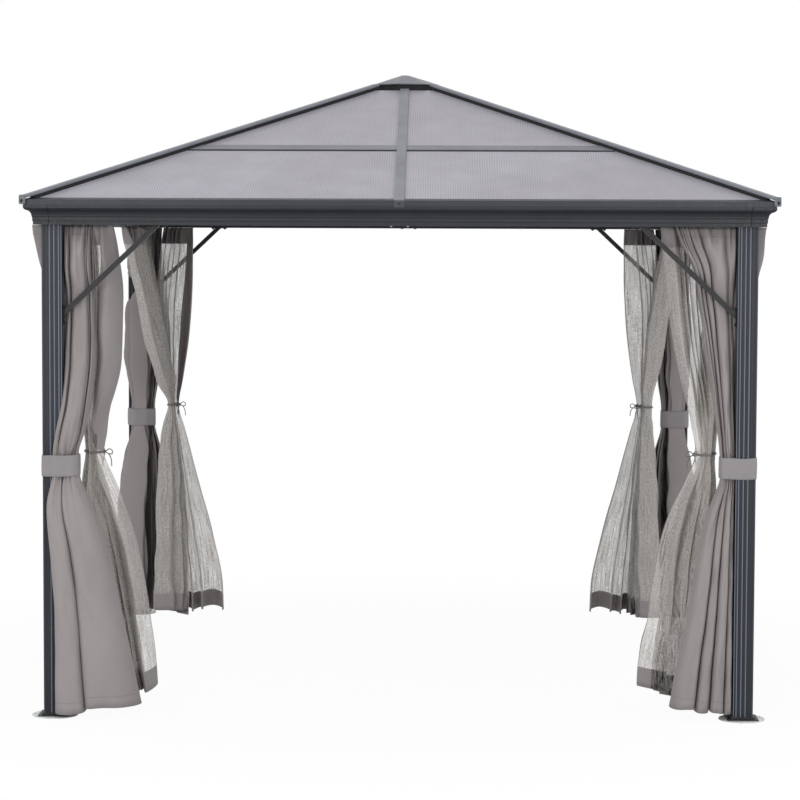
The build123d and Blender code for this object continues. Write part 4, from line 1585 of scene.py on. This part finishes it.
@dataclass
class Studio:
    """The floor, the lights and the camera."""

    ambient: float = 0.66
    key: float = 122.0
    fill: float = 92.0
    top: float = 60.0
    floor_radius: float = 16.0
    floor_fade: Pair = (1.6, 3.2)
    floor_share: float = 0.955
    eye: Triple = (0.166127, -11.337998, 1.924949)
    yaw: float = 0.0162268
    pitch: float = -0.0649251
    roll: float = 0.0035842
    lens: float = 112.565

    def floor(self) -> None:
        """Lays a pale disc that keeps the object's shadow and goes white further out."""
        g = Graph("studio_floor")
        x, y, _ = g.parts(g.place())
        away = g.step("SQRT", g.step("ADD", g.times(x, x), g.times(y, y)))
        share = g.between(away, *self.floor_fade, self.floor_share, 1.0)
        seen = g.add("LightPath").outputs["Is Camera Ray"]
        matt = g.add("BsdfDiffuse", Color=(0.86, 0.865, 0.88, 1.0))
        white = g.add("Emission", Color=(1.0, 1.0, 1.0, 1.0), Strength=1.0)
        mix = g.add("MixShader")
        g.put(mix.inputs[0], g.times(share, seen))
        g.put(mix.inputs[1], matt.outputs[0])
        g.put(mix.inputs[2], white.outputs[0])
        material = g.close(mix.outputs[0])
        ring = [(self.floor_radius * math.cos(a), self.floor_radius * math.sin(a), -0.0005)
                for a in np.linspace(0, 2 * math.pi, 96, endpoint=False)]
        make_mesh("studio_floor", np.array(ring), [tuple(range(96))], material, smooth=False)

    def world(self) -> None:
        """Sets a plain soft sky that shows white behind the object."""
        world = bpy.data.worlds.new("studio_world")
        bpy.context.scene.world = world
        world.use_nodes = True
        tree = world.node_tree
        tree.nodes.clear()
        path = tree.nodes.new("ShaderNodeLightPath")
        total = path.outputs["Is Camera Ray"]
        for name in ("Is Glossy Ray", "Is Transmission Ray"):
            step = tree.nodes.new("ShaderNodeMath")
            step.operation = "MAXIMUM"
            tree.links.new(total, step.inputs[0])
            tree.links.new(path.outputs[name], step.inputs[1])
            total = step.outputs[0]
        soft, white = tree.nodes.new("ShaderNodeBackground"), tree.nodes.new("ShaderNodeBackground")
        for node, colour, strength in ((soft, (0.97, 0.985, 1.0, 1.0), self.ambient),
                                       (white, (1.0, 1.0, 1.0, 1.0), 1.0)):
            node.inputs["Color"].default_value = colour
            node.inputs["Strength"].default_value = strength
        mix, out = tree.nodes.new("ShaderNodeMixShader"), tree.nodes.new("ShaderNodeOutputWorld")
        tree.links.new(total, mix.inputs[0])
        tree.links.new(soft.outputs[0], mix.inputs[1])
        tree.links.new(white.outputs[0], mix.inputs[2])
        tree.links.new(mix.outputs[0], out.inputs["Surface"])

    def lamp(self, name: str, spot: Triple, aim: Triple, power: float, size: float) -> None:
        """Hangs one square soft lamp.

        Args:
            name: The lamp's name.
            spot: Where it is.
            aim: Where it points.
            power: Its power in watts.
            size: Its width.
        """
        data = bpy.data.lights.new(name, "AREA")
        data.energy, data.size, data.shape = power, size, "SQUARE"
        lamp = bpy.data.objects.new(name, data)
        lamp.location = spot
        lamp.rotation_mode = "QUATERNION"
        lamp.rotation_quaternion = (Vector(aim) - Vector(spot)).to_track_quat("-Z", "Y")
        bpy.context.scene.collection.objects.link(lamp)

    def camera(self) -> None:
        """Sets the camera where the photograph was taken from."""
        data = bpy.data.cameras.new("camera")
        data.lens, data.sensor_width, data.clip_end = self.lens, 36.0, 200.0
        camera = bpy.data.objects.new("camera", data)
        cy, sy, cp, sp = math.cos(self.yaw), math.sin(self.yaw), math.cos(self.pitch), math.sin(self.pitch)
        right = Vector((cy, sy, 0.0))
        ahead = Vector((-sy * cp, cy * cp, sp))
        up = Vector((sy * sp, -cy * sp, cp))
        c, s = math.cos(self.roll), math.sin(self.roll)
        axis_x, axis_y = right * c + up * s, up * c - right * s
        pose = Matrix((axis_x, axis_y, -ahead)).transposed().to_4x4()
        pose.translation = Vector(self.eye)
        camera.matrix_world = pose
        bpy.context.scene.collection.objects.link(camera)
        bpy.context.scene.camera = camera

    def build(self) -> None:
        """Makes the whole stage."""
        self.floor()
        self.world()
        middle = (0.0, 0.0, 1.1)
        self.lamp("key", (-3.6, -9.6, 3.0), middle, self.key, 2.0)
        self.lamp("fill", (3.2, -9.8, 2.2), middle, self.fill, 2.0)
        self.lamp("top", (-1.0, -5.0, 7.5), (0.0, -0.5, 2.2), self.top, 2.5)
        self.camera()
        bpy.context.scene.view_settings.view_transform = "Standard"


@dataclass
class Gazebo:
    """The whole object."""

    frame: dict[str, Any]
    net_width: float = 1.0
    curtain_width: float = 1.12

    def finishes(self) -> dict[str, bpy.types.Material]:
        """Makes every finish once."""
        return {
            "dark": PowderCoat("charcoal_powder_coat", (36, 39, 44)).build(),
            "post": FlutedCoat("post_powder_coat", (62, 66, 74)).build(),
            "brace": PowderCoat("brace_powder_coat", (33, 33, 35)).build(),
            "rail": PowderCoat("rail_powder_coat", (50, 53, 59)).build(),
            # The trim, ribs and purlins carry the frame's charcoal paint; their pale grey tones are painted
            # reflection of the sky, and the rib's dark foot keeps the charcoal of the clip over the rail.
            "trim": PowderCoat("roof_trim_powder_coat", (122, 125, 132)).build(),
            "rib": PowderCoat("rib_powder_coat", (128, 130, 137), foot_tone=(66, 69, 76),
                              foot_below=2.070).build(),
            "purlin": PowderCoat("purlin_powder_coat", (124, 126, 133)).build(),
            "sheet_y": RoofSheet("roof_sheet_walls_along_y", FlutesAlong.Y).build(),
            "sheet_x": RoofSheet("roof_sheet_walls_along_x", FlutesAlong.X).build(),
            # Black rubber for the hip gaskets and the hub, also used for the purlins' painted shadow strips.
            "rubber": Moulded("gasket_rubber", (12, 12, 13), 0.7).build(),
            "shoe": Moulded("shoe_plastic", (30, 30, 32), 0.45).build(),
            # The plates' near-white tone is partly their own bright zinc and partly painted reflection of the
            # white backdrop.
            "plate": BareMetal("plate_zinc", (250, 251, 252), 0.42, 0.15).build(),
            "steel": BareMetal("screw_zinc", (150, 151, 155), 0.3).build(),
            "bolt": PowderCoat("bolt_black_oxide", (42, 43, 46), 0.35).build(),
            "curtain": WovenCloth("curtain_polyester", (158, 151, 149)).build(),
            "band": WovenCloth("tie_band_polyester", (152, 147, 148)).build(),
            "cord": WovenCloth("tie_cord", (128, 122, 120)).build(),
        }

    def net_finishes(self) -> dict[str, bpy.types.Material]:
        """Makes the net's finish for each woven border.

        A border is given as its width, its width at the header and the drop at which it ends.
        """
        borders = {"wide": (0.33, 0.17, 0.90), "narrow": (0.15, 0.13, 0.88), "plain": (0.012, 0.012, 3.0)}
        return {border: NetCloth(f"insect_net_{border}_border", (214, 208, 202), (160, 153, 151),
                                 self.net_width, border=size, border_top=top, border_end=end).build()
                for border, (size, top, end) in borders.items()}

    def corner(self, corner: Corner, finish: dict[str, bpy.types.Material],
               by_border: dict[str, bpy.types.Material], seed: int) -> list[bpy.types.Object]:
        """Hangs and ties the cloths of one corner.

        Args:
            corner: Which corner.
            finish: The finishes by name.
            by_border: The nets' finishes by border.
            seed: What its folds' small differences start from.

        Returns:
            The corner's pieces.
        """
        cloths = CornerCloths(corner, finish["curtain"], by_border, self.net_width, self.curtain_width,
                              seed).build()
        word = corner.word
        curtains = [cloths[f"curtain_{word}_{side}"] for side in "ab"]
        nets = [cloths[f"net_{word}_{side}"] for side in "ab"]
        band, length = TieBand(corner, finish["band"]).build(curtains)
        ties = [NetTie(corner, side, finish["cord"], net_tie(corner)).build(net)
                for side, net in zip("ab", nets)]
        hooks = Gliders(f"gliders_{word}", finish["bolt"]).build(
            [(c, CURTAIN_COLUMNS) for c in curtains] + [(n, NET_COLUMNS) for n in nets])
        pieces = [*curtains, *nets, band, *ties, hooks]
        for piece in pieces:
            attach(piece, "root")
        for obj in curtains:
            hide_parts(f"curtain_{word}")
        for obj, tie in zip(nets, ties):
            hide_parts(f"net_{word}")
        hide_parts("tie_bands")
        return pieces

    def build(self) -> None:
        """Makes and dresses every piece, and attaches the new ones to the root body."""
        finish, by_border = self.finishes(), self.net_finishes()
        dressed = Frame(finish["dark"], finish["post"], finish["brace"], finish["rail"], finish["trim"],
                        finish["rib"], finish["purlin"], finish["sheet_y"], finish["sheet_x"],
                        finish["rubber"], finish["plate"], finish["shoe"]).dress(self.frame["nodes"])
        LOG.info("dressed %d rigid pieces", dressed)
        for piece in Fasteners(finish["steel"], finish["bolt"]).build():
            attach(piece, "root")
            LOG.info("%s: %d faces", piece.name, len(piece.data.polygons))
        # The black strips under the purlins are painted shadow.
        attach(PurlinSeal(finish["rubber"]).build(), "root")
        for seed, corner in enumerate(Corner, start=3):
            for piece in self.corner(corner, finish, by_border, seed):
                LOG.info("%s: %d faces", piece.name, len(piece.data.polygons))


def main() -> None:
    """Builds the object and its studio."""
    logging.basicConfig(level=logging.INFO, format="%(name)s: %(message)s")
    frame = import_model()
    Gazebo(frame).build()
    Studio().build()
    bpy.context.view_layer.update()


if __name__ == "__main__":
    main()
